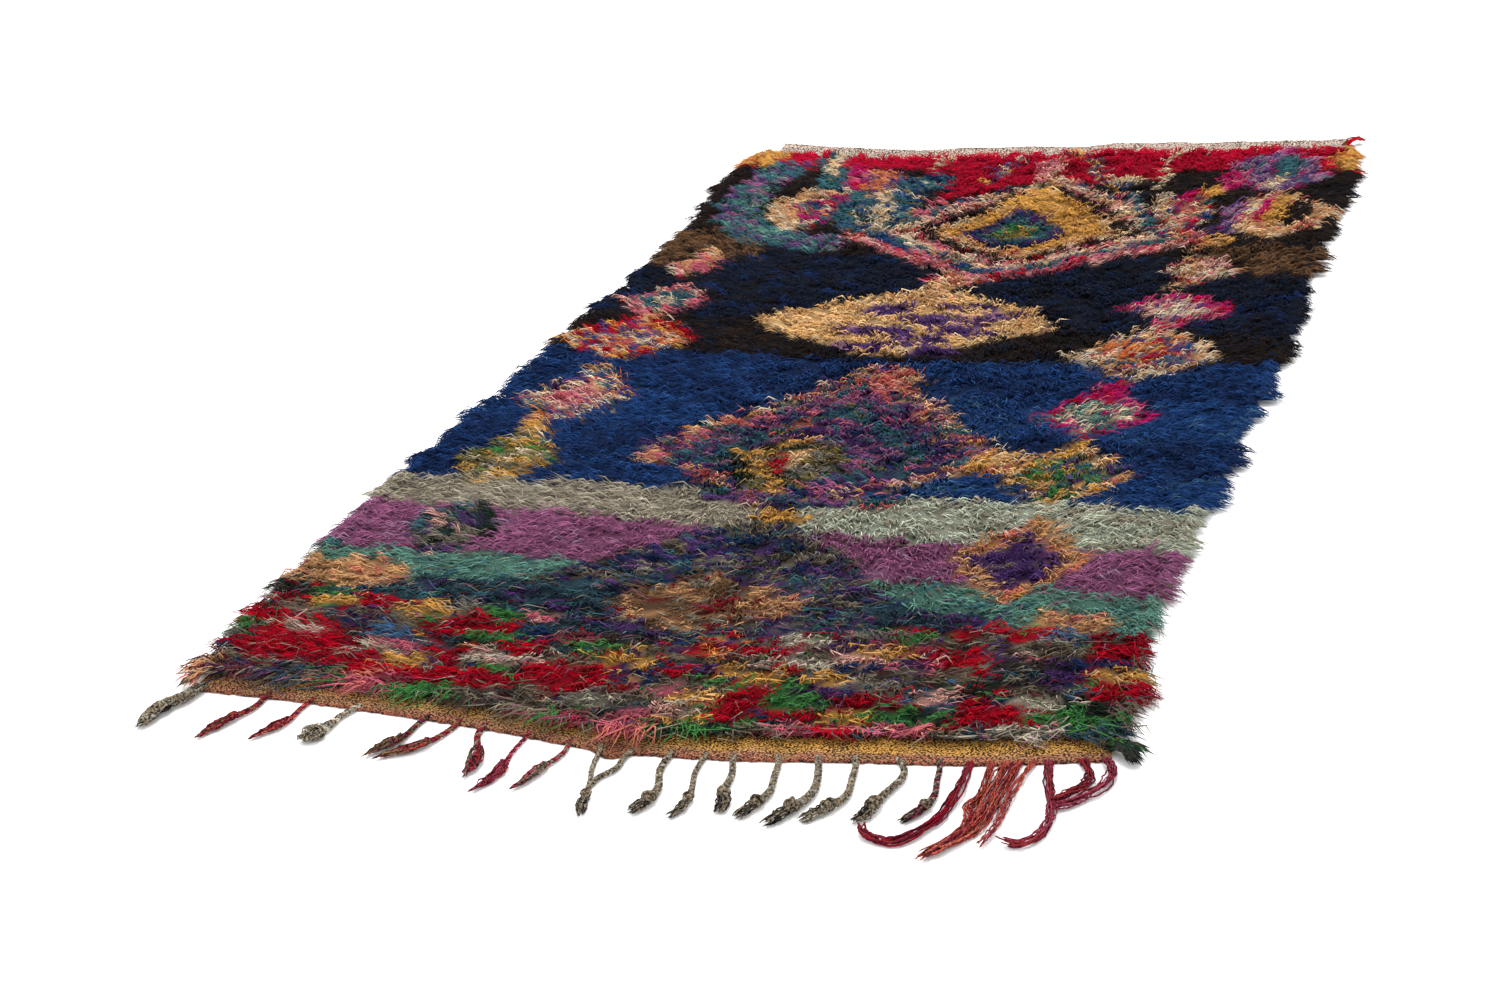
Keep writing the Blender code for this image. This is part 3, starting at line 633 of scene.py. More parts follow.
def drift(x, y, scale, layer):
    """Smooth noise at places, from about -1 to 1."""
    return np.array([noise.noise((a * scale, b * scale, layer)) for a, b in zip(x, y)]) * 1.6


def smoothed(share):
    """A share from 0 to 1 that eases in and out."""
    share = np.clip(share, 0, 1)
    return share * share * (3 - 2 * share)


def inside(shape, x, y):
    """Which places a shape covers."""
    u = np.abs(x - shape.x) / np.where(x > shape.x, shape.right, shape.left)
    v = np.abs(y - shape.y) / np.where(y > shape.y, shape.up, shape.down)
    return u**shape.square + v**shape.square < 1


def near_line(stripe, x, y):
    """Which places a stripe covers."""
    covered = np.zeros(len(x), bool)
    for (ax, ay), (bx, by) in zip(stripe.line, stripe.line[1:]):
        length = (bx - ax) ** 2 + (by - ay) ** 2
        t = np.clip(((x - ax) * (bx - ax) + (y - ay) * (by - ay)) / length, 0, 1)
        covered |= np.hypot(x - ax - t * (bx - ax), y - ay - t * (by - ay)) < stripe.half
    return covered


def whole_number_noise(a, b, layer):
    """Even noise from 0 to 1 that is the same all over a cell."""
    mixed = np.sin(a * 127.1 + b * 311.7 + layer * 74.7) * 43758.5453
    return mixed - np.floor(mixed)


def knotted_in(x, y):
    """The mix of yarns at each place, as its place in the list of mixes, and whether it is a motif."""
    names = list(MIXES)
    mix = np.full(len(x), names.index("patches"))
    motif = np.ones(len(x), bool)
    left_over = y > PATCHWORK_FROM
    for band in BANDS:
        edge = np.array(band.ends_on)
        here = left_over & (y > np.interp(x, edge[:, 0], edge[:, 1]))
        mix[here] = np.where(x[here] < 0, names.index(band.left), names.index(band.right))
        motif[here] = False
        left_over &= ~here
    mix[left_over] = names.index("teal dark")
    mix[y < near_edge(x) + NEAR_WEAVE + NEAR_TUFTS] = names.index("near tufts")
    for shape in SHAPES:
        here = inside(shape, x, y)
        mix[here] = names.index(shape.mix)
        motif[here] = True
    for stripe in STRIPES:
        here = near_line(stripe, x, y)
        mix[here] = names.index(stripe.mix)
        motif[here] = True
    return mix, motif


def yarn_colours(x, y):
    """The colour of the knot at each place, and which knots are part of a motif."""
    rng = np.random.default_rng(SEED)
    ragged_x = x + 0.007 * drift(x, y, 24, 1.0) + 0.004 * drift(x, y, 61, 2.0)
    ragged_y = y + 0.008 * drift(x, y, 19, 3.0) + 0.006 * drift(x, y, 57, 4.0)
    mix, motif = knotted_in(ragged_x, ragged_y)
    # neighbours share a yarn in short runs along the row, and the patchwork in pieces
    row = np.floor(ragged_y / RUN_ROW)
    shift = 5 * whole_number_noise(row, 0 * row, 1.0)
    run = whole_number_noise(np.floor(ragged_x / RUN_LENGTH + shift), row, 2.0)
    patch_row = np.floor((ragged_y + 0.010 * drift(x, y, 9, 5.0)) / PATCH_ROW)
    patch_column = np.floor(ragged_x / PATCH_WIDTH + 5 * whole_number_noise(patch_row, 0 * row, 3.0))
    piece = whole_number_noise(patch_column, patch_row, 4.0)
    by_chance = rng.random(len(x))
    chooser = np.where(rng.random(len(x)) < 0.5, run, by_chance)
    in_patches = np.isin(mix, [list(MIXES).index("patches"), list(MIXES).index("near tufts")])
    chooser = np.where(in_patches, np.where(rng.random(len(x)) < PATCH_TRUE, piece, by_chance), chooser)
    colours = np.zeros((len(x), 3))
    for index, parts in enumerate(MIXES.values()):
        here = mix == index
        steps = np.cumsum(list(parts.values())) / sum(parts.values())
        palette = np.array([linear(yarn) for yarn in parts])
        colours[here] = palette[np.minimum(np.searchsorted(steps, chooser[here]), len(parts) - 1)]
    return colours, motif


def paint_yarn(mesh, colours):
    """Keeps each point's colour with the mesh, for its material to read."""
    paint = mesh.color_attributes.new("yarn", "FLOAT_COLOR", "POINT")
    opaque = np.concatenate([colours, np.ones((len(colours), 1))], 1)
    paint.data.foreach_set("color", opaque.astype(np.float32).ravel())


def mesh_from(name, points, quads, tris, colours):
    """A smooth mesh object of quads and triangles with a colour at every point."""
    mesh = bpy.data.meshes.new(name)
    mesh.vertices.add(len(points))
    mesh.vertices.foreach_set("co", np.ascontiguousarray(points, dtype=np.float32).ravel())
    loops = np.concatenate([quads.ravel(), tris.ravel()]).astype(np.int32)
    mesh.loops.add(len(loops))
    mesh.loops.foreach_set("vertex_index", loops)
    mesh.polygons.add(len(quads) + len(tris))
    starts = np.concatenate([np.arange(len(quads)) * 4, len(quads) * 4 + np.arange(len(tris)) * 3])
    mesh.polygons.foreach_set("loop_start", starts.astype(np.int32))
    mesh.polygons.foreach_set("use_smooth", np.ones(len(starts), bool))
    mesh.update(calc_edges=True)
    paint_yarn(mesh, colours)
    thing = bpy.data.objects.new(name, mesh)
    bpy.context.collection.objects.link(thing)
    return thing


def strands(name, lines, widths, colours, sides=3):
    """Many yarns as one mesh: each a closed tube that tapers to a point.

    lines is strands by places by three, widths strands by places without the tip, and colours
    strands by places by three.
    """
    count, places = lines.shape[:2]
    ahead = np.concatenate([lines[:, 1:] - lines[:, :-1], lines[:, -1:] - lines[:, -2:-1]], 1)
    ahead[:, 1:-1] += lines[:, 1:-1] - lines[:, :-2]
    ahead /= np.linalg.norm(ahead, axis=2, keepdims=True) + 1e-12
    aside = np.stack([ahead[..., 1], -ahead[..., 0], np.zeros_like(ahead[..., 0])], 2)
    steep = np.linalg.norm(aside, axis=2, keepdims=True) < 1e-4
    aside = np.where(steep, (1.0, 0.0, 0.0), aside)
    aside /= np.linalg.norm(aside, axis=2, keepdims=True)
    above = np.cross(aside, ahead)
    rings = places - 1
    turn = np.pi / 2 - np.arange(sides) * 2 * np.pi / sides
    around = (
        aside[:, :rings, None] * np.cos(turn)[None, None, :, None]
        + above[:, :rings, None] * np.sin(turn)[None, None, :, None]
    )
    tube = lines[:, :rings, None] + around * (widths[:, :, None, None] / 2)
    each = rings * sides + 1
    points = np.concatenate([tube.reshape(count, -1, 3), lines[:, -1:]], 1).reshape(-1, 3)
    paint = np.concatenate([np.repeat(colours[:, :rings], sides, axis=1), colours[:, -1:]], 1)
    paint = paint.reshape(-1, 3)
    k = np.arange(sides)
    after = (k + 1) % sides
    quads = [
        np.stack([r * sides + k, r * sides + after, (r + 1) * sides + after, (r + 1) * sides + k], 1)
        for r in range(rings - 1)
    ]
    last = (rings - 1) * sides
    tips = np.stack([last + k, last + after, np.full(sides, rings * sides)], 1)
    caps = np.stack([np.zeros(sides - 2, int), k[2:], k[1:-1]], 1)
    quads = np.concatenate(quads) if quads else np.zeros((0, 4), int)
    tris = np.concatenate([tips, caps])
    first = (np.arange(count) * each)[:, None, None]
    quads, tris = (quads[None] + first).reshape(-1, 4), (tris[None] + first).reshape(-1, 3)
    return mesh_from(name, points, quads, tris, paint)


def bake_map(thing, count, rings, sides=3):
    """Gives every strand a cell of its own in the piece's map for baking."""
    columns = int(np.ceil(np.sqrt(count / 2)))
    rows = int(np.ceil(count / columns))
    cell = np.array([1 / columns, 1 / rows])
    corner = np.stack([np.arange(count) % columns, np.arange(count) // columns], 1) * cell
    k = np.arange(sides)
    steps = rings + 0.5
    quad_map = [
        np.stack([
            np.stack([np.full(sides, r / steps), k / sides], 1),
            np.stack([np.full(sides, r / steps), (k + 1) / sides], 1),
            np.stack([np.full(sides, (r + 1) / steps), (k + 1) / sides], 1),
            np.stack([np.full(sides, (r + 1) / steps), k / sides], 1),
        ], 1)
        for r in range(rings - 1)
    ]
    tip_map = np.stack([
        np.stack([np.full(sides, (rings - 1) / steps), k / sides], 1),
        np.stack([np.full(sides, (rings - 1) / steps), (k + 1) / sides], 1),
        np.stack([np.full(sides, rings / steps), (k + 0.5) / sides], 1),
    ], 1)
    cap_map = np.array([[(1.0, 0.0), (0.96, 0.9), (1.0, 0.9)]] * (sides - 2))
    quad_map = np.concatenate(quad_map).reshape(-1, 2) if quad_map else np.zeros((0, 2))
    tri_map = np.concatenate([tip_map, cap_map]).reshape(-1, 2)
    placed = [
        (corner[:, None] + (0.06 + 0.88 * part[None]) * cell).reshape(-1, 2)
        for part in (quad_map, tri_map)
    ]
    layer = thing.data.uv_layers.new(name="OFBake")
    layer.data.foreach_set("uv", np.concatenate(placed).astype(np.float32).ravel())


def knots():
    """Where the pile is knotted: places, shares across and along, and the distance in from the rim."""
    rng = np.random.default_rng(SEED + 1)
    across, along = np.meshgrid(np.arange(KNOTS_ACROSS), np.arange(KNOTS_ALONG))
    across = (across.ravel() + 0.5 + rng.uniform(-KNOT_JITTER, KNOT_JITTER, across.size)) / KNOTS_ACROSS
    along = (along.ravel() + 0.5 + rng.uniform(-KNOT_JITTER, KNOT_JITTER, along.size)) / KNOTS_ALONG
    rows = [(across, along)]
    for row in range(RIM_ROWS):
        inset = (0.3 + row) * RIM_ROW_GAP
        sides = np.arange(PILE_SIDE * RIM_KNOTS)
        share = (sides + rng.uniform(0, 1, len(sides))) / len(sides)
        rows.append((np.full(len(sides), inset / PILE_WIDTH), share))
        rows.append((np.full(len(sides), 1 - inset / PILE_WIDTH), share))
        ends = np.arange(PILE_END * RIM_KNOTS)
        share = (ends + rng.uniform(0, 1, len(ends))) / len(ends)
        rows.append((share, np.full(len(ends), inset / PILE_LENGTH)))
        rows.append((share, np.full(len(ends), 1 - inset / PILE_LENGTH)))
    across = np.concatenate([own for own, _ in rows])
    along = np.concatenate([own for _, own in rows])
    x, y = under_pile(across, along)
    return x, y, across, along


def clump_centres(x, y):
    """The middle of the lock that each place has matted into."""
    best = np.full(len(x), 9.0)
    centre = np.zeros((len(x), 2))
    cell_x, cell_y = np.floor(x / CLUMP), np.floor(y / CLUMP)
    for i in (-1, 0, 1):
        for j in (-1, 0, 1):
            a, b = cell_x + i, cell_y + j
            middle = np.stack([
                (a + 0.1 + 0.8 * whole_number_noise(a, b, 5.0)) * CLUMP,
                (b + 0.1 + 0.8 * whole_number_noise(a, b, 6.0)) * CLUMP,
            ], 1)
            far = np.hypot(middle[:, 0] - x, middle[:, 1] - y)
            nearer = far < best
            best = np.where(nearer, far, best)
            centre = np.where(nearer[:, None], middle, centre)
    return centre


def near_reach(x):
    """How far the near rim's strands reach: they hide the hem at the left and show it at the right."""
    return 0.022 + 0.033 * (1 - smoothed((x - 0.02) / 0.12))


# The kinds of strand: how many a knot has in plain ground and in a motif, where along it its points
# are, their heights in the pile and at the rim, its width and how it narrows, how far it strays and
# bends, its share of the reach and its painted shade, dark at the root and light at the tip
Strand = namedtuple("Strand", "plain motif shares heights low width narrowing stray bend reach shading")
STRANDS = (
    Strand(
        0, 1, (0.0, 0.30, 0.68, 1.0),
        (0.0045, 0.0150, 0.0215, 0.0190), (0.0050, 0.0165, 0.0150, 0.0060),
        0.0023, (1.0, 1.0, 0.72), 0.55, 0.0046, 1.05, (0.34, 0.76, 1.02, 1.14),
    ),
    Strand(
        2, 2, (0.0, 0.45, 1.0),
        (0.0045, 0.0185, 0.0180), (0.0050, 0.0165, 0.0070),
        0.0026, (1.0, 0.9), 0.38, 0.0022, 1.0, (0.32, 0.90, 1.12),
    ),
    Strand(
        3, 3, (0.0, 1.0),
        (0.0070, 0.0235), (0.0080, 0.0080),
        0.0030, (1.0,), 0.45, 0.0, 0.95, (0.62, 1.16),
    ),
)


def pile():
    """The shaggy pile, in pieces from the near end to the far end."""
    x, y, across, along = knots()
    rng = np.random.default_rng(SEED + 2)
    colours, motif = yarn_colours(x, y - STRAND_SHIFT)
    left, right = selvedges(0 * along, along), selvedges(0 * along + 1, along)
    near, far = near_edge(x) + NEAR_WEAVE, far_edge(x) - FAR_WEAVE
    outward = np.stack([
        smoothed(1 - (right - x) / RIM) - smoothed(1 - (x - left) / RIM),
        FAR_LEAN * smoothed(1 - (far - y) / 0.012) - NEAR_LEAN * smoothed(1 - (y - near) / RIM),
    ], 1)
    centre = clump_centres(x, y)
    angle = -np.pi / 2 + 0.95 * (x / 0.40).clip(-1, 1) + 0.8 * drift(x, y, 6.5, 8.0)
    angle += 0.45 * drift(centre[:, 0], centre[:, 1], 40, 9.0)
    high = 1 + 0.22 * drift(x, y, 13, 10.0) + 0.30 * drift(centre[:, 0], centre[:, 1], 33, 11.0)
    tone = 1 + 0.16 * drift(centre[:, 0], centre[:, 1], 29, 12.0) + 0.10 * rng.normal(size=len(x))
    # painted light: rows within 20 mm of the near edge are up to a quarter lighter, against the rim's shade
    tone *= 1 + 0.25 * smoothed(1 - (y - near) / 0.02)
    rim = np.linalg.norm(outward, axis=1).clip(0, 1)
    droop = np.where(outward[:, 1] > 0, np.abs(outward[:, 0]), rim)
    lock = 1 + 0.55 * drift(centre[:, 0], centre[:, 1], 37, 22.0)
    loose = motif | (rim > 0.75)
    pieces = {name: [] for name, _ in PILE_PIECES}
    for kind_index, kind in enumerate(STRANDS):
        for index, (name, until) in enumerate(PILE_PIECES):
            start = PILE_PIECES[index - 1][1] if index else -9.0
            here = np.nonzero((y > start) & (y <= until))[0]
            here = np.repeat(here, np.where(loose[here], kind.motif, kind.plain))
            count = len(here)
            root = np.stack([x[here], y[here]], 1) + rng.uniform(-ROOT_SPREAD, ROOT_SPREAD, (count, 2))
            at_near = smoothed(1 - (root[:, 1] - near[here]) / NEAR_DEPTH)
            matted = (root[:, 1] < FRIZZ_TO) * (1 - at_near)
            straying = 1 + 0.2 * at_near - 0.25 * matted
            bearing = angle[here] + rng.normal(0, kind.stray, count) * straying
            heading = np.stack([np.cos(bearing), np.sin(bearing)], 1)
            edge = rim[here][:, None]
            heading *= 1 - 0.5 * edge * (1 - 0.7 * at_near[:, None])
            heading += outward[here] * rng.uniform(0.6, 1.3, (count, 1))
            heading /= np.linalg.norm(heading, axis=1, keepdims=True) + 1e-9
            reach = np.where(motif[here], MOTIF_REACH, STRAND_REACH) * (1 - droop[here])
            reach += RIM_REACH * droop[here] * lock[here]
            reach *= kind.reach * rng.uniform(0.62, 1.25, count)
            over_hem = near_reach(root[:, 0]) * lock[here] * rng.uniform(0.45, 1.3, count)
            over_hem *= 0.6 if len(kind.shares) == 2 else 1.0
            long_lock = smoothed(3 * drift(centre[here, 0], 0 * root[:, 0], 27, 25.0) - 0.8)
            over_hem *= 1 + 1.1 * long_lock * smoothed((root[:, 0] - 0.02) / 0.08)
            reach = reach * (1 - at_near) + over_hem * at_near
            reach *= 1 - 0.35 * at_near * np.abs(outward[here, 0])
            at_far = smoothed(1 - (far[here] - root[:, 1]) / FAR_DEPTH)
            reach *= 1 - 0.35 * at_far
            stray_thread = (rng.random(count) < FRIZZ_SHARE) & (root[:, 1] < FRIZZ_TO) & (len(kind.shares) > 2)
            reach = np.where(stray_thread, np.minimum(reach * 1.8, FRIZZ_REACH), reach)
            tip = root + heading * reach[:, None]
            target = centre[here] + heading * reach[:, None]
            pull = CLUMP_PULL * (1 + 0.45 * edge) * rng.uniform(0.5, 1.2, (count, 1))
            tip += (target - tip) * pull * ~stray_thread[:, None]
            tall = (high[here] * rng.uniform(0.70, 1.25, count)).clip(0.45, 1.6) * (1 - 0.18 * at_far)
            tall *= 1 - 0.15 * matted
            across_it = np.stack([-heading[:, 1], heading[:, 0]], 1)
            bend = rng.normal(0, 1, (count, len(kind.shares))) * kind.bend
            bend *= (np.where(stray_thread, 1.9, 1.0) + 2.2 * at_near + 0.9 * matted)[:, None]
            bend[:, 0] = 0
            line = np.zeros((count, len(kind.shares), 3))
            for place, share in enumerate(kind.shares):
                line[:, place, :2] = root + (tip - root) * share + across_it * bend[:, place, None]
                risen = kind.heights[0] + (kind.heights[place] - kind.heights[0]) * tall
                fallen = kind.low[0] + (kind.low[place] - kind.low[0]) * rng.uniform(0.7, 1.35, count)
                line[:, place, 2] = risen * (1 - droop[here]) + fallen * droop[here]
            thick = kind.width * rng.uniform(0.75, 1.2, count) * np.where(stray_thread, FRIZZ_WIDTH, 1.0)
            # random tone per strand, and painted shade: drooping rim strands are up to 22% darker
            own = tone[here] * rng.uniform(0.82, 1.18, count) * (1 - 0.22 * droop[here])
            frizz = np.array([linear(yarn) for yarn in FRIZZ_YARNS])
            threads = frizz[rng.integers(0, len(FRIZZ_YARNS), count)]
            yarn = np.where(stray_thread[:, None], threads, colours[here])
            # painted shade and highlight: darker towards each strand's root, lighter at its tip
            paint = yarn[:, None] * own[:, None, None] * np.array(kind.shading)[None, :, None]
            part = strands(name, line, thick[:, None] * np.array(kind.narrowing), paint)
            bake_map(part, count, len(kind.shares) - 1)
            squeeze_map(part, kind_index / len(STRANDS))
            pieces[name].append(part)
    for name, parts in pieces.items():
        yield joined(parts, name)


def squeeze_map(thing, start):
    """Moves a piece's bake map into its kind's own third of the sheet."""
    layer = thing.data.uv_layers["OFBake"]
    places = np.zeros(len(layer.data) * 2, np.float32)
    layer.data.foreach_get("uv", places)
    places[::2] = places[::2] / len(STRANDS) + start
    layer.data.foreach_set("uv", places)


def joined(things, name):
    """Several objects as one."""
    bpy.ops.object.select_all(action="DESELECT")
    for thing in things:
        thing.select_set(True)
    bpy.context.view_layer.objects.active = things[0]
    if len(things) > 1:
        bpy.ops.object.join()
    things[0].name = name
    things[0].data.name = name
    things[0].select_set(False)
    return things[0]


def slab(name, cells_across, cells_along):
    """A closed slab on a grid.

    Gives the object, each point's shares across and along, and whether it is on top.
    """
    bpy.ops.mesh.primitive_grid_add(x_subdivisions=cells_across, y_subdivisions=cells_along, size=2)
    thing = bpy.context.object
    thing.name = name
    thing.data.name = name
    bpy.ops.object.mode_set(mode="EDIT")
    bpy.ops.mesh.select_all(action="SELECT")
    bpy.ops.mesh.extrude_region_move(TRANSFORM_OT_translate={"value": (0, 0, 1)})
    bpy.ops.mesh.select_all(action="SELECT")
    bpy.ops.mesh.normals_make_consistent(inside=False)
    bpy.ops.object.mode_set(mode="OBJECT")
    bpy.ops.object.shade_smooth_by_angle(angle=0.9)
    thing.select_set(False)
    places = np.zeros(len(thing.data.vertices) * 3)
    thing.data.vertices.foreach_get("co", places)
    places = places.reshape(-1, 3)
    return thing, (places[:, 0] + 1) / 2, (places[:, 1] + 1) / 2, places[:, 2] > 0.5


def shape_and_paint(thing, places, colours):
    """Moves a mesh's points to their places and gives them their colours."""
    thing.data.vertices.foreach_set("co", np.ascontiguousarray(places).ravel())
    paint_yarn(thing.data, colours)
    thing.data.update()


def pile_bed():
    """The matted roots of the pile: a lumpy slab on the ground cloth."""
    thing, across, along, top = slab("pile_bed", 60, 130)
    across = 0.004 + 0.992 * across
    along = 0.002 + 0.996 * along
    x, y = under_pile(across, along)
    left, right = selvedges(0 * along, along), selvedges(0 * along + 1, along)
    near, far = near_edge(x) + NEAR_WEAVE, far_edge(x) - FAR_WEAVE
    inset = np.minimum(np.minimum(x - left, right - x), np.minimum(y - near, far - y))
    full = 0.25 + 0.75 * smoothed(inset / BED_RIM)
    lumps = BED_HEIGHT + BED_LUMP * (drift(x, y, 21, 13.0) + 0.5 * drift(x, y, 70, 14.0))
    z = np.where(top, PILE_FLOOR + 0.001 + lumps.clip(0.003, 0.022) * full, PILE_FLOOR)
    colours, _ = yarn_colours(x, y - 0.006)
    # painted shade: the bed is its yarns' colour at 0.42, for the shade down among the strands' roots
    shape_and_paint(thing, np.stack([x, y, z], 1), colours * 0.42)
    return thing


def ground_cloth():
    """The woven ground with its two bare ends, one cloth but for the near end's last strip."""
    thing, across, along, top = slab("rug_cloth", 80, 90)
    # a third of the rows go to the two bare ends
    x = selvedges(across, np.interp(along, (NEAR_ROWS, FAR_START), (0.0, 1.0)))
    start, end = near_edge(x) + HEM_STRIP + PIECE_GAP, far_edge(x)
    pile_start, pile_end = near_edge(x) + NEAR_WEAVE, far_edge(x) - FAR_WEAVE
    y = np.where(
        along < NEAR_ROWS,
        start + (pile_start - start) * along / NEAR_ROWS,
        np.where(
            along < FAR_START,
            pile_start + (pile_end - pile_start) * (along - NEAR_ROWS) / PILE_ROWS,
            pile_end + (end - pile_end) * (along - FAR_START) / FAR_ROWS,
        ),
    )
    bare_far = ((along - FAR_START) / FAR_ROWS).clip(0, 1)
    bare_near = 1 - (along / NEAR_ROWS).clip(0, 1)
    x = x * (1 - WEAVE_NARROWING * smoothed(bare_far * 2))
    y = y + 0.0022 * drift(x, y, 45, 15.0) * bare_far**2
    lift = FAR_CURL * bare_far**3 * (1 + 0.5 * drift(x, 0 * y, 9, 16.0))
    ripple = 0.0007 * drift(x, y, 60, 17.0) * np.maximum(bare_far, bare_near)
    z = np.where(top, WEAVE_THICK, 0.0003) + lift.clip(0, 0.02) + np.where(top, ripple, 0)
    colours, _ = yarn_colours(x, y)
    gilt = smoothed(2.0 - bare_near * 1.6 + 0.4 * drift(x, y, 25, 23.0))[:, None]
    gilt = gilt * (0.45 + 0.55 * smoothed((x + 0.45) / 0.5))[:, None]
    # painted light: the hem is up to 1.42 times lighter towards the pile, against the pile's shade on it
    lit = (1.42 - 0.42 * bare_near)[:, None]
    hem_colour = (linear("gold") * gilt + linear("tan") * (1 - gilt)) * lit
    colours = np.where((bare_near > 0)[:, None], hem_colour, colours)
    streak = (0.5 + 0.5 * drift(0.15 * x, y, 160, 18.0)).clip(0, 1)[:, None]
    shaded = 0.55 + 0.45 * smoothed(bare_far * 2.2 - 0.5)[:, None]
    far_colour = linear("undyed") * (0.72 + 0.28 * streak) * shaded
    colours = np.where((bare_far > 0.02)[:, None], far_colour, colours)
    shape_and_paint(thing, np.stack([x, y, z], 1), colours)
    return thing


def hem_strip():
    """The near end's last strip of weave, in orange, from which the warps come."""
    thing, across, along, top = slab("fringe_strip", 200, 6)
    x = selvedges(across, 0 * along)
    y = near_edge(x) + 0.0004 + (HEM_STRIP - 0.0004) * along
    y = y + 0.0020 * (1 - along) * drift(x, 0 * y, 110, 19.0)
    z = np.where(top, WEAVE_THICK * (0.75 + 0.25 * smoothed(along * 3)), 0.0003)
    z = z + np.where(top, 0.0006 * drift(x, y, 130, 20.0), 0)
    mixed = smoothed(0.5 + 0.7 * drift(x, y, 30, 21.0))[:, None]
    colours = (linear("tan") * (1 - mixed) + (linear("tan") + linear("salmon")) * 0.5 * mixed) * 0.78
    outer = smoothed(1 - along / 0.35 + 0.4 * drift(x, 0 * y, 70, 24.0))[:, None]
    tongue = np.exp(-(((x - 0.014) / 0.020) ** 2))
    y = y - 0.016 * tongue * (1 - along)
    outer = np.maximum(outer, tongue[:, None] * 0.9)
    colours = colours * (1 - outer * 0.6) + linear("brick") * outer * 0.6
    shape_and_paint(thing, np.stack([x, y, z], 1), colours)
    return thing


def fair_line(points, count):
    """A smooth line through points, at an even count of places."""
    points = np.array(points, float)
    padded = np.concatenate([2 * points[:1] - points[1:2], points, 2 * points[-1:] - points[-2:-1]])
    at = np.linspace(0, len(points) - 1, count)
    i = np.minimum(at.astype(int), len(points) - 2)
    t = (at - i)[:, None]
    a, b, c, d = padded[i], padded[i + 1], padded[i + 2], padded[i + 3]
    squared, cubed = 2 * a - 5 * b + 4 * c - d, 3 * b - a - 3 * c + d
    return 0.5 * (2 * b + (c - a) * t + squared * t**2 + cubed * t**3)


def warp_line(warp, count):
    """A warp's own line in plan."""
    s = np.linspace(0, 1, count)
    thirds = np.array((0, 1 / 3, 2 / 3, 1))
    x = np.zeros(count)
    for k, own in enumerate((warp.root_x, warp.third_x, warp.two_thirds_x, warp.tip_x)):
        others = np.delete(thirds, k)
        x += own * np.prod([(s - o) / (thirds[k] - o) for o in others], axis=0)
    start = near_edge(np.array([warp.root_x]))[0] + 0.010
    y = start + (warp.tip_y - start) * s
    return np.stack([x, y], 1)


def across_line(line):
    """The sideways direction along a line in plan."""
    ahead = np.gradient(line, axis=0)
    ahead /= np.linalg.norm(ahead, axis=1, keepdims=True)
    return np.stack([-ahead[:, 1], ahead[:, 0]], 1)


def along_line(line, where):
    """Places at shares along a line of points."""
    own = np.linspace(0, 1, len(line))
    return np.stack([np.interp(where, own, line[:, k]) for k in range(line.shape[1])], 1)


def girth(s, ending):
    """How thick a warp is along its length, as a share of its thickness."""
    if ending == "ball":
        return np.interp(s, (0, 0.15, 0.45, 0.60, 0.80), (0.55, 0.65, 0.75, 1.0, 1.2))
    if ending == "tassel":
        return np.interp(s, (0, 0.15, 0.45, 0.70), (0.66, 0.66, 0.76, 0.98))
    if ending in ("tail", "joining"):
        return np.interp(s, (0, 0.2, 0.6, 1.0), (0.75, 0.80, 0.9, 0.8))
    return np.interp(s, (0, 0.15, 0.50, 0.64, 0.76, 0.88), (0.80, 0.76, 0.82, 0.92, 1.15, 0.90))


def plaited(rng, line, warp, until):
    """The three plies of a warp, each a line, its widths and its yarn."""
    count = len(line)
    side = across_line(line)
    s = np.linspace(0, 1, count)
    thick = warp.thick * girth(s, warp.ending)
    turns = np.cumsum(np.linalg.norm(np.diff(line, axis=0, prepend=line[:1]), axis=1) / (thick * 2.3))
    root = smoothed(s / 0.12)
    made = []
    for ply in range(3):
        turn = 2 * np.pi * (ply / 3 + turns) + 0.3 * rng.normal()
        swell = thick * (0.23 + 0.03 * np.sin(s * 31 + 2 * ply))
        z = np.maximum(thick * 0.50 + np.sin(turn) * swell * 0.8, thick * 0.27)
        z = np.maximum(0.0032, thick * 0.28) * (1 - root) + z * root
        at = np.concatenate([line + side * (np.cos(turn) * swell)[:, None], z[:, None]], 1)
        keep = s <= until
        made.append((at[keep], (thick * 0.54)[keep][:-1], warp.yarns[ply % len(warp.yarns)]))
    return made


def wrapped(line, at_share, thick, turns, yarn, lean):
    """A knot: one yarn wound round the line."""
    s = np.linspace(0, 1, 26)
    length = np.linalg.norm(np.diff(line, axis=0), axis=1).sum()
    where = np.clip(at_share + (s * 2 - 1) * 0.42 * thick / length, 0, 1)
    own = along_line(line, where)
    side = across_line(own)
    turn = 2 * np.pi * turns * s + lean
    at = np.concatenate([
        own + side * (np.cos(turn) * thick * 0.40)[:, None],
        (thick * 0.56 + np.sin(turn) * thick * 0.32)[:, None],
    ], 1)
    return at, np.full(len(s) - 1, thick * 0.42), yarn


def frayed(rng, line, shares, spread, yarns, count, closing=0.4):
    """The loose yarn ends past a knot."""
    made = []
    side = across_line(line)
    for index in range(count):
        where = np.linspace(shares[0], shares[1] - 0.30 * rng.random() * (shares[1] - shares[0]), 7)
        own, aside = along_line(line, where), along_line(side, where)
        fan = np.interp(np.linspace(0, 1, 7), (0, 0.35, 0.5, 1), (0.55, 1.0, 0.95, closing))
        fan *= rng.uniform(-0.5, 0.5) * spread
        fan += 0.10 * spread * rng.normal(size=7)
        top = spread * rng.uniform(0.25, 0.62)
        z = np.linspace(top, 0.0013 + 0.4 * top, 7) + 0.0005 * rng.normal(size=7)
        at = np.concatenate([own + aside * fan[:, None], np.maximum(z, 0.0013)[:, None]], 1)
        made.append((at, np.full(6, FRAYED_WIDTH * rng.uniform(0.8, 1.3)), yarns[index % len(yarns)]))
    return made


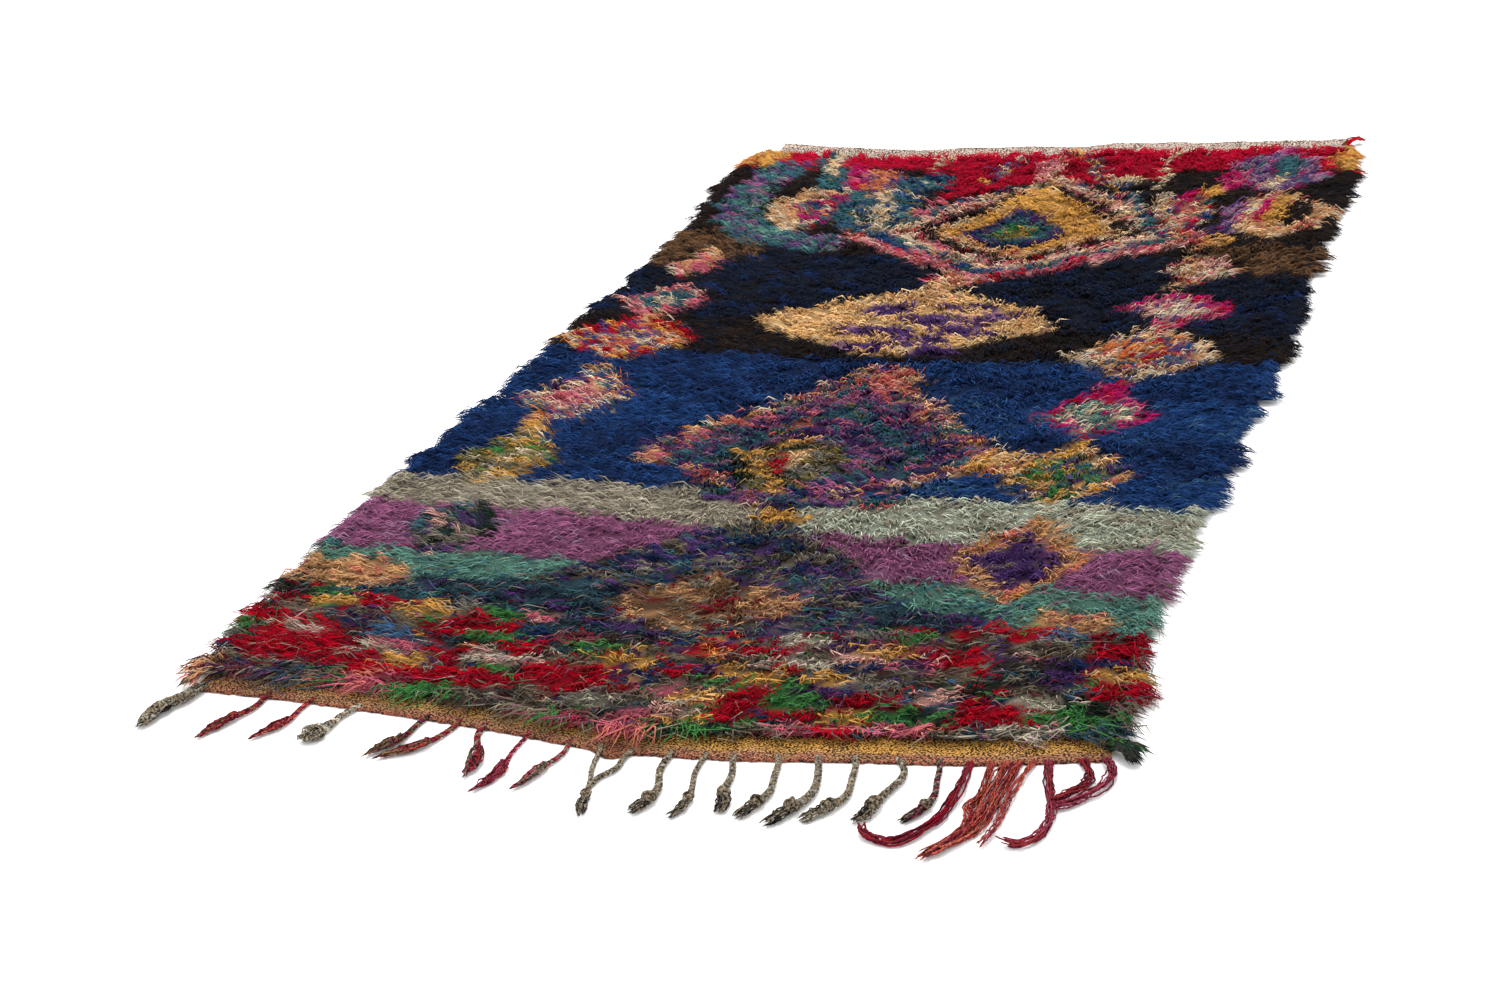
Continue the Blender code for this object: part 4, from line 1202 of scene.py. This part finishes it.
def tousled(rng, centre, radius, yarns, count):
    """A ball of loose curls."""
    made = []
    for index in range(count):
        facing = rng.normal(size=3)
        facing /= np.linalg.norm(facing)
        other = np.cross(facing, rng.normal(size=3))
        other /= np.linalg.norm(other)
        turn = np.linspace(0, rng.uniform(1.2, 2.6), 7)[:, None]
        at = (facing * np.cos(turn) + other * np.sin(turn)) * radius * rng.uniform(0.72, 1.12)
        at = np.array((centre[0], centre[1], radius * 0.62)) + at * (1.0, 1.0, 0.60)
        at[:, 2] = np.maximum(at[:, 2], 0.0014)
        made.append((at, np.full(6, LOOSE_WIDTH * rng.uniform(0.8, 1.2)), yarns[index % len(yarns)]))
    return made


def tubes(name, yarns):
    """Yarns of any length as one mesh. Each is a line, its widths and its yarn."""
    rng = np.random.default_rng(SEED + 5)
    groups = {}
    for own in yarns:
        groups.setdefault(len(own[0]), []).append(own)
    made = []
    for places, group in groups.items():
        heather = rng.uniform(0.75, 1.25, (len(group), places, 1))
        heather = heather * rng.uniform(0.85, 1.15, (len(group), 1, 1))
        colours = np.array([np.tile(linear(yarn), (places, 1)) for _, _, yarn in group]) * heather
        sides = 6 if group[0][1].mean() > 0.0028 else 3
        lines, widths = (np.array([own[part] for own in group]) for part in (0, 1))
        made.append(strands(name, lines, widths, colours, sides))
    return joined(made, name)


def braids():
    """The plaited warps with their knots and frayed ends."""
    rng = np.random.default_rng(SEED + 3)
    made = []
    for warp in WARPS:
        line = warp_line(warp, LINE_PLACES)
        s = np.linspace(0, 1, LINE_PLACES)
        sway = np.sin(s * np.pi * rng.uniform(1.8, 2.8) + rng.uniform(-0.6, 0.6)) * rng.choice((-1, 1))
        line = line + across_line(line) * (WARP_SWAY * sway * np.sin(s * np.pi * 0.9))[:, None]
        if warp.ending == "knot":
            knot_at = rng.uniform(0.68, 0.80)
            made += plaited(rng, line, warp, knot_at + 0.08)
            lean = rng.uniform(0, 6)
            made.append(wrapped(line, knot_at, warp.thick * 1.25, 1.6, warp.yarns[0], lean))
            loose = warp.yarns + ("black", "soot")
            made += frayed(rng, line, (knot_at, 1.0), warp.thick * 1.30, loose, 26, 0.8)
        elif warp.ending == "tassel":
            made += plaited(rng, line, warp, 0.70)
            made += frayed(rng, line, (0.50, 0.90), warp.thick * 1.50, warp.yarns, 20, 0.30)
            made += frayed(rng, line, (0.58, 1.0), warp.thick * 1.35, warp.yarns + ("soot",), 18, 0.08)
        elif warp.ending == "ball":
            made += plaited(rng, line, warp, 0.72)
            middle = along_line(line, np.array((0.80,)))[0]
            made += tousled(rng, middle, warp.thick * 1.05, warp.yarns, 90)
            made += frayed(rng, line, (0.74, 1.04), warp.thick * 2.0, warp.yarns, 26)
        elif warp.ending == "joining":
            made += plaited(rng, line, warp, 1.0)
        else:
            made += plaited(rng, line, warp, 0.9)
            made += frayed(rng, line, (0.05, 0.62), warp.thick * 1.05, warp.yarns, 22)
            made += frayed(rng, line, (0.40, 1.0), warp.thick * 1.15, warp.yarns + ("black",), 34)
    return tubes("fringe_braids", made)


def hanks():
    """The loose yarns at the right."""
    rng = np.random.default_rng(SEED + 6)
    made = []
    count = LINE_PLACES
    s = np.linspace(0, 1, count)
    for hank in HANKS:
        root_y = near_edge(np.array([hank.root_x]))[0] + 0.006
        line = fair_line(((hank.root_x, root_y), *hank.line), count)
        side = across_line(line)
        for strand in range(hank.strands):
            phase = rng.uniform(0, 2 * np.pi, 4)
            own = (strand + 0.5) / hank.strands * 2 - 1
            away = own * np.cos(s * rng.uniform(2, 5) + phase[0] * 0.5)
            away = hank.spread * 0.5 * (away + 0.45 * np.sin(s * rng.uniform(6, 16) + phase[1]))
            z = 0.0022 + 0.0024 * (1 + np.sin(s * rng.uniform(5, 11) + phase[2])) + 0.0012 * (strand % 3)
            root = smoothed(s / 0.10)
            z = 0.0030 * (1 - root) + z * root
            at = np.concatenate([line + side * away[:, None], z[:, None]], 1)
            at[:, :2] += 0.0006 * rng.normal(size=(count, 2))
            cut = count - 2 * rng.integers(0, 3)
            widths = np.full(cut - 1, LOOSE_WIDTH * rng.uniform(0.8, 1.3))
            made.append((at[:cut], widths, hank.yarns[strand % len(hank.yarns)]))
    return tubes("fringe_hanks", made)


def corner_tufts():
    """The tufts: dark red at the far right corner, dark green at the near right, rust at the near left."""
    rng = np.random.default_rng(SEED + 4)
    made = []
    for root_middle, tip_middle, yarns in CORNER_TUFTS:
        for strand in range(30):
            root = np.array(root_middle) + rng.uniform(-0.008, 0.008, 2)
            tip = np.array(tip_middle) + rng.normal(0, 0.0055, 2)
            s = np.linspace(0, 1, 6)[:, None]
            flat = root + (tip - root) * s + rng.normal(0, 0.0014, (6, 2))
            z = 0.006 + 0.008 * np.sin(np.pi * s) + rng.normal(0, 0.0012, (6, 1))
            yarn = yarns[strand % len(yarns)]
            made.append((np.concatenate([flat, np.maximum(z, 0.0015)], 1), np.full(5, TUFT_WIDTH), yarn))
    return tubes("corner_tufts", made)


class Value:
    """A shader socket on which sums may be written."""

    def __init__(self, tree, socket):
        self.tree = tree
        self.socket = socket

    def maths(self, operation, *others):
        node = self.tree.nodes.new("ShaderNodeMath")
        node.operation = operation
        for place, item in enumerate(others):
            if isinstance(item, Value):
                self.tree.links.new(item.socket, node.inputs[place])
            else:
                node.inputs[place].default_value = item
        return Value(self.tree, node.outputs[0])

    def __add__(self, other):
        return self.maths("ADD", self, other)

    def __radd__(self, other):
        return self.maths("ADD", other, self)

    def __sub__(self, other):
        return self.maths("SUBTRACT", self, other)

    def __rsub__(self, other):
        return self.maths("SUBTRACT", other, self)

    def __mul__(self, other):
        return self.maths("MULTIPLY", self, other)

    def __rmul__(self, other):
        return self.maths("MULTIPLY", other, self)

    def __truediv__(self, other):
        return self.maths("DIVIDE", self, other)

    def sine(self):
        return self.maths("SINE", self)

    def floor(self):
        return self.maths("FLOOR", self)

    def held(self):
        value = self.maths("ADD", self, 0.0)
        value.socket.node.use_clamp = True
        return value


class Finish:
    """A material whose nodes are made one by one."""

    def __init__(self, name, roughness):
        self.material = bpy.data.materials.new(name)
        self.material.use_nodes = True
        self.tree = self.material.node_tree
        self.shader = self.tree.nodes["Principled BSDF"]
        self.shader.inputs["Roughness"].default_value = roughness
        self.shader.inputs["Specular IOR Level"].default_value = 0.04

    def node(self, kind, settings=None, output=0, **sockets):
        """A node of a kind, with its settings and its sockets' values or links by name."""
        node = self.tree.nodes.new(kind)
        for name, value in (settings or {}).items():
            setattr(node, name, value)
        for name, value in sockets.items():
            numbered = name[0] == "i" and name[1:].isdigit()
            socket = node.inputs[int(name[1:]) if numbered else name]
            if isinstance(value, Value):
                self.tree.links.new(value.socket, socket)
            else:
                socket.default_value = value
        return Value(self.tree, node.outputs[output])

    def place(self):
        """Object coordinates, and the same apart as X, Y and Z."""
        where = self.node("ShaderNodeTexCoord", output="Object")
        parts = self.tree.nodes.new("ShaderNodeSeparateXYZ")
        self.tree.links.new(where.socket, parts.inputs[0])
        return where, [Value(self.tree, parts.outputs[k]) for k in range(3)]

    def noise(self, where, scale, detail=3.0, roughness=0.6):
        sockets = {"Vector": where, "Scale": scale, "Detail": detail, "Roughness": roughness}
        return self.node("ShaderNodeTexNoise", **sockets)

    def yarn(self):
        """The colour kept with the mesh."""
        return self.node("ShaderNodeAttribute", {"attribute_name": "yarn"})

    def brightened(self, colour, by):
        """A colour times a number, through a Mix node."""
        grey = self.node("ShaderNodeCombineColor", Red=by, Green=by, Blue=by)
        multiply = {"data_type": "RGBA", "blend_type": "MULTIPLY"}
        return self.node("ShaderNodeMix", multiply, output=2, i0=1.0, i6=colour, i7=grey)

    def use(self, **sockets):
        for name, value in sockets.items():
            self.tree.links.new(value.socket, self.shader.inputs[name.replace("_", " ")])

    def bump(self, height, distance, strength=1.0):
        bump = self.node("ShaderNodeBump", Height=height, Distance=distance, Strength=strength)
        self.use(Normal=bump)


def yarn_finish():
    """Soft wool and rag yarn: its own colour, flecked along the fibres."""
    finish = Finish("shaggy_yarn", 0.92)
    where, _ = finish.place()
    colour = finish.yarn()
    fibres = finish.noise(where, 900.0, 2.0)
    fading = finish.noise(where, 28.0, 2.0)
    tone = 0.55 + fibres * 0.62 + fading * 0.28
    finish.use(Base_Color=finish.brightened(colour, tone))
    finish.use(Roughness=0.84 + fibres * 0.16)
    finish.bump(fibres, 0.0010, 0.7)
    return finish.material


def bed_finish():
    """The matted roots, in tight curls."""
    finish = Finish("matted_roots", 0.96)
    where, _ = finish.place()
    colour = finish.yarn()
    curls = finish.noise(where, 330.0, 3.0, 0.7)
    finish.use(Base_Color=finish.brightened(colour, 0.25 + curls * 1.3))
    finish.use(Roughness=0.88 + curls * 0.12)
    finish.bump(curls, 0.004)
    return finish.material


def weave_finish(name, specks, dark):
    """A flat weave: wefts beaten down over the warps, with specks of a darker yarn."""
    finish = Finish(name, 0.88)
    where, (x, y, _) = finish.place()
    colour = finish.yarn()
    wander = (finish.noise(where, 60.0, 2.0) - 0.5) * 0.006
    row = ((y + wander) / 0.0024).floor()
    ribs = ((x + wander) * 1500.0 + row * 3.14159).sine()
    wefts = ((y + wander) * (6.28318 / 0.0024)).sine()
    fibres = finish.noise(where, 330.0, 1.0)
    relief = ribs * 0.4 + wefts * 0.3 + fibres * 1.2
    clouds = finish.noise(where, 45.0, 3.0)
    fleck = ((fibres + ribs * 0.05 + clouds * 0.25 - (0.70 - specks)) * 14.0).held()
    speckled = finish.node(
        "ShaderNodeMix", {"data_type": "RGBA"}, output=2,
        i0=fleck * 0.97, i6=colour, i7=(*linear(dark), 1.0),
    )
    finish.use(Base_Color=finish.brightened(speckled, 0.66 + relief * 0.20 + clouds * 0.50))
    finish.use(Roughness=0.8 + fibres * 0.15)
    finish.bump(relief, 0.0014)
    return finish.material


def spun_finish(name, contrast):
    """Hard-spun yarn, in which light and dark fibres are twisted together."""
    finish = Finish(name, 0.86)
    where, _ = finish.place()
    colour = finish.yarn()
    fibres = finish.noise(where, 330.0, 2.0, 0.6)
    salt = ((fibres - 0.5) * 5.0 + 0.5).held()
    finish.use(Base_Color=finish.brightened(colour, 1 - contrast + salt * (1.75 * contrast)))
    finish.use(Roughness=0.78 + fibres * 0.2)
    finish.bump(fibres, 0.0014)
    return finish.material


def floor_finish():
    """A pale painted studio floor."""
    finish = Finish("studio_floor", 0.9)
    where, _ = finish.place()
    grain = finish.noise(where, 40.0, 2.0)
    shade = 0.93 + grain * 0.02
    finish.use(Base_Color=finish.node("ShaderNodeCombineColor", Red=shade, Green=shade, Blue=shade))
    return finish.material


def stage_floor():
    """The floor, which is not part of the rug."""
    bpy.ops.mesh.primitive_plane_add(size=40, location=(0, 0, -0.0005))
    floor = bpy.context.object
    floor.name = "studio_floor"
    bpy.ops.object.transform_apply(location=True)
    floor.data.materials.append(floor_finish())
    floor.select_set(False)


def light():
    """A white sky all round and one large soft light from above and behind."""
    world = bpy.data.worlds.new("white_room")
    world.use_nodes = True
    world.node_tree.nodes["Background"].inputs["Color"].default_value = (1, 1, 1, 1)
    world.node_tree.nodes["Background"].inputs["Strength"].default_value = 1.35
    bpy.context.scene.world = world
    bpy.context.scene.view_settings.view_transform = "Standard"
    lamp = bpy.data.lights.new("soft_light", "AREA")
    lamp.size = 2.6
    lamp.energy = 225
    thing = bpy.data.objects.new("soft_light", lamp)
    bpy.context.collection.objects.link(thing)
    thing.location = (-0.5, 1.5, 4.6)
    thing.rotation_euler = (Vector((0, 0, 0)) - thing.location).to_track_quat("-Z", "Y").to_euler()


def camera():
    """The photograph's view."""
    yaw, pitch, roll = -0.34382, 0.39091, -0.08632
    forward = Vector((np.sin(yaw) * np.cos(pitch), np.cos(yaw) * np.cos(pitch), -np.sin(pitch)))
    level = Vector((np.cos(yaw), -np.sin(yaw), 0))
    upright = level.cross(forward)
    right = level * np.cos(roll) + upright * np.sin(roll)
    up = upright * np.cos(roll) - level * np.sin(roll)
    view = bpy.data.cameras.new("view")
    view.lens = 62.57
    view.sensor_width = 36
    thing = bpy.data.objects.new("view", view)
    bpy.context.collection.objects.link(thing)
    turned = Matrix((right, up, -forward)).transposed().to_4x4()
    thing.matrix_world = Matrix.Translation((1.10966, -3.8619, 1.42896)) @ turned
    bpy.context.scene.camera = thing


def finish_piece(thing, material, slot, *nodes):
    """Gives a piece its finish, hangs it on the root body and hides the model's parts that it stands for."""
    thing.data.materials.clear()
    thing.data.materials.append(material)
    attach(thing, "root")
    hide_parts(*nodes)


camera()
light()
stage_floor()
shaggy = yarn_finish()
cloth = ground_cloth()
finish_piece(cloth, weave_finish("flat_weave", 0.110, "dark earth"), "pile", "rug")
strip = hem_strip()
finish_piece(strip, weave_finish("orange_weave", 0.100, "dark earth"), "fringe", "fringe")
bed = pile_bed()
finish_piece(bed, bed_finish(), "pile", "rug")
on_cloth = [bed, corner_tufts(), *pile()]
for piece in on_cloth[1:]:
    finish_piece(piece, shaggy, "pile", "rug")
on_strip = [braids(), hanks()]
finish_piece(on_strip[0], spun_finish("salt_and_pepper_yarn", 0.86), "fringe", "fringe")
finish_piece(on_strip[1], spun_finish("hard_spun_yarn", 0.52), "fringe", "fringe")
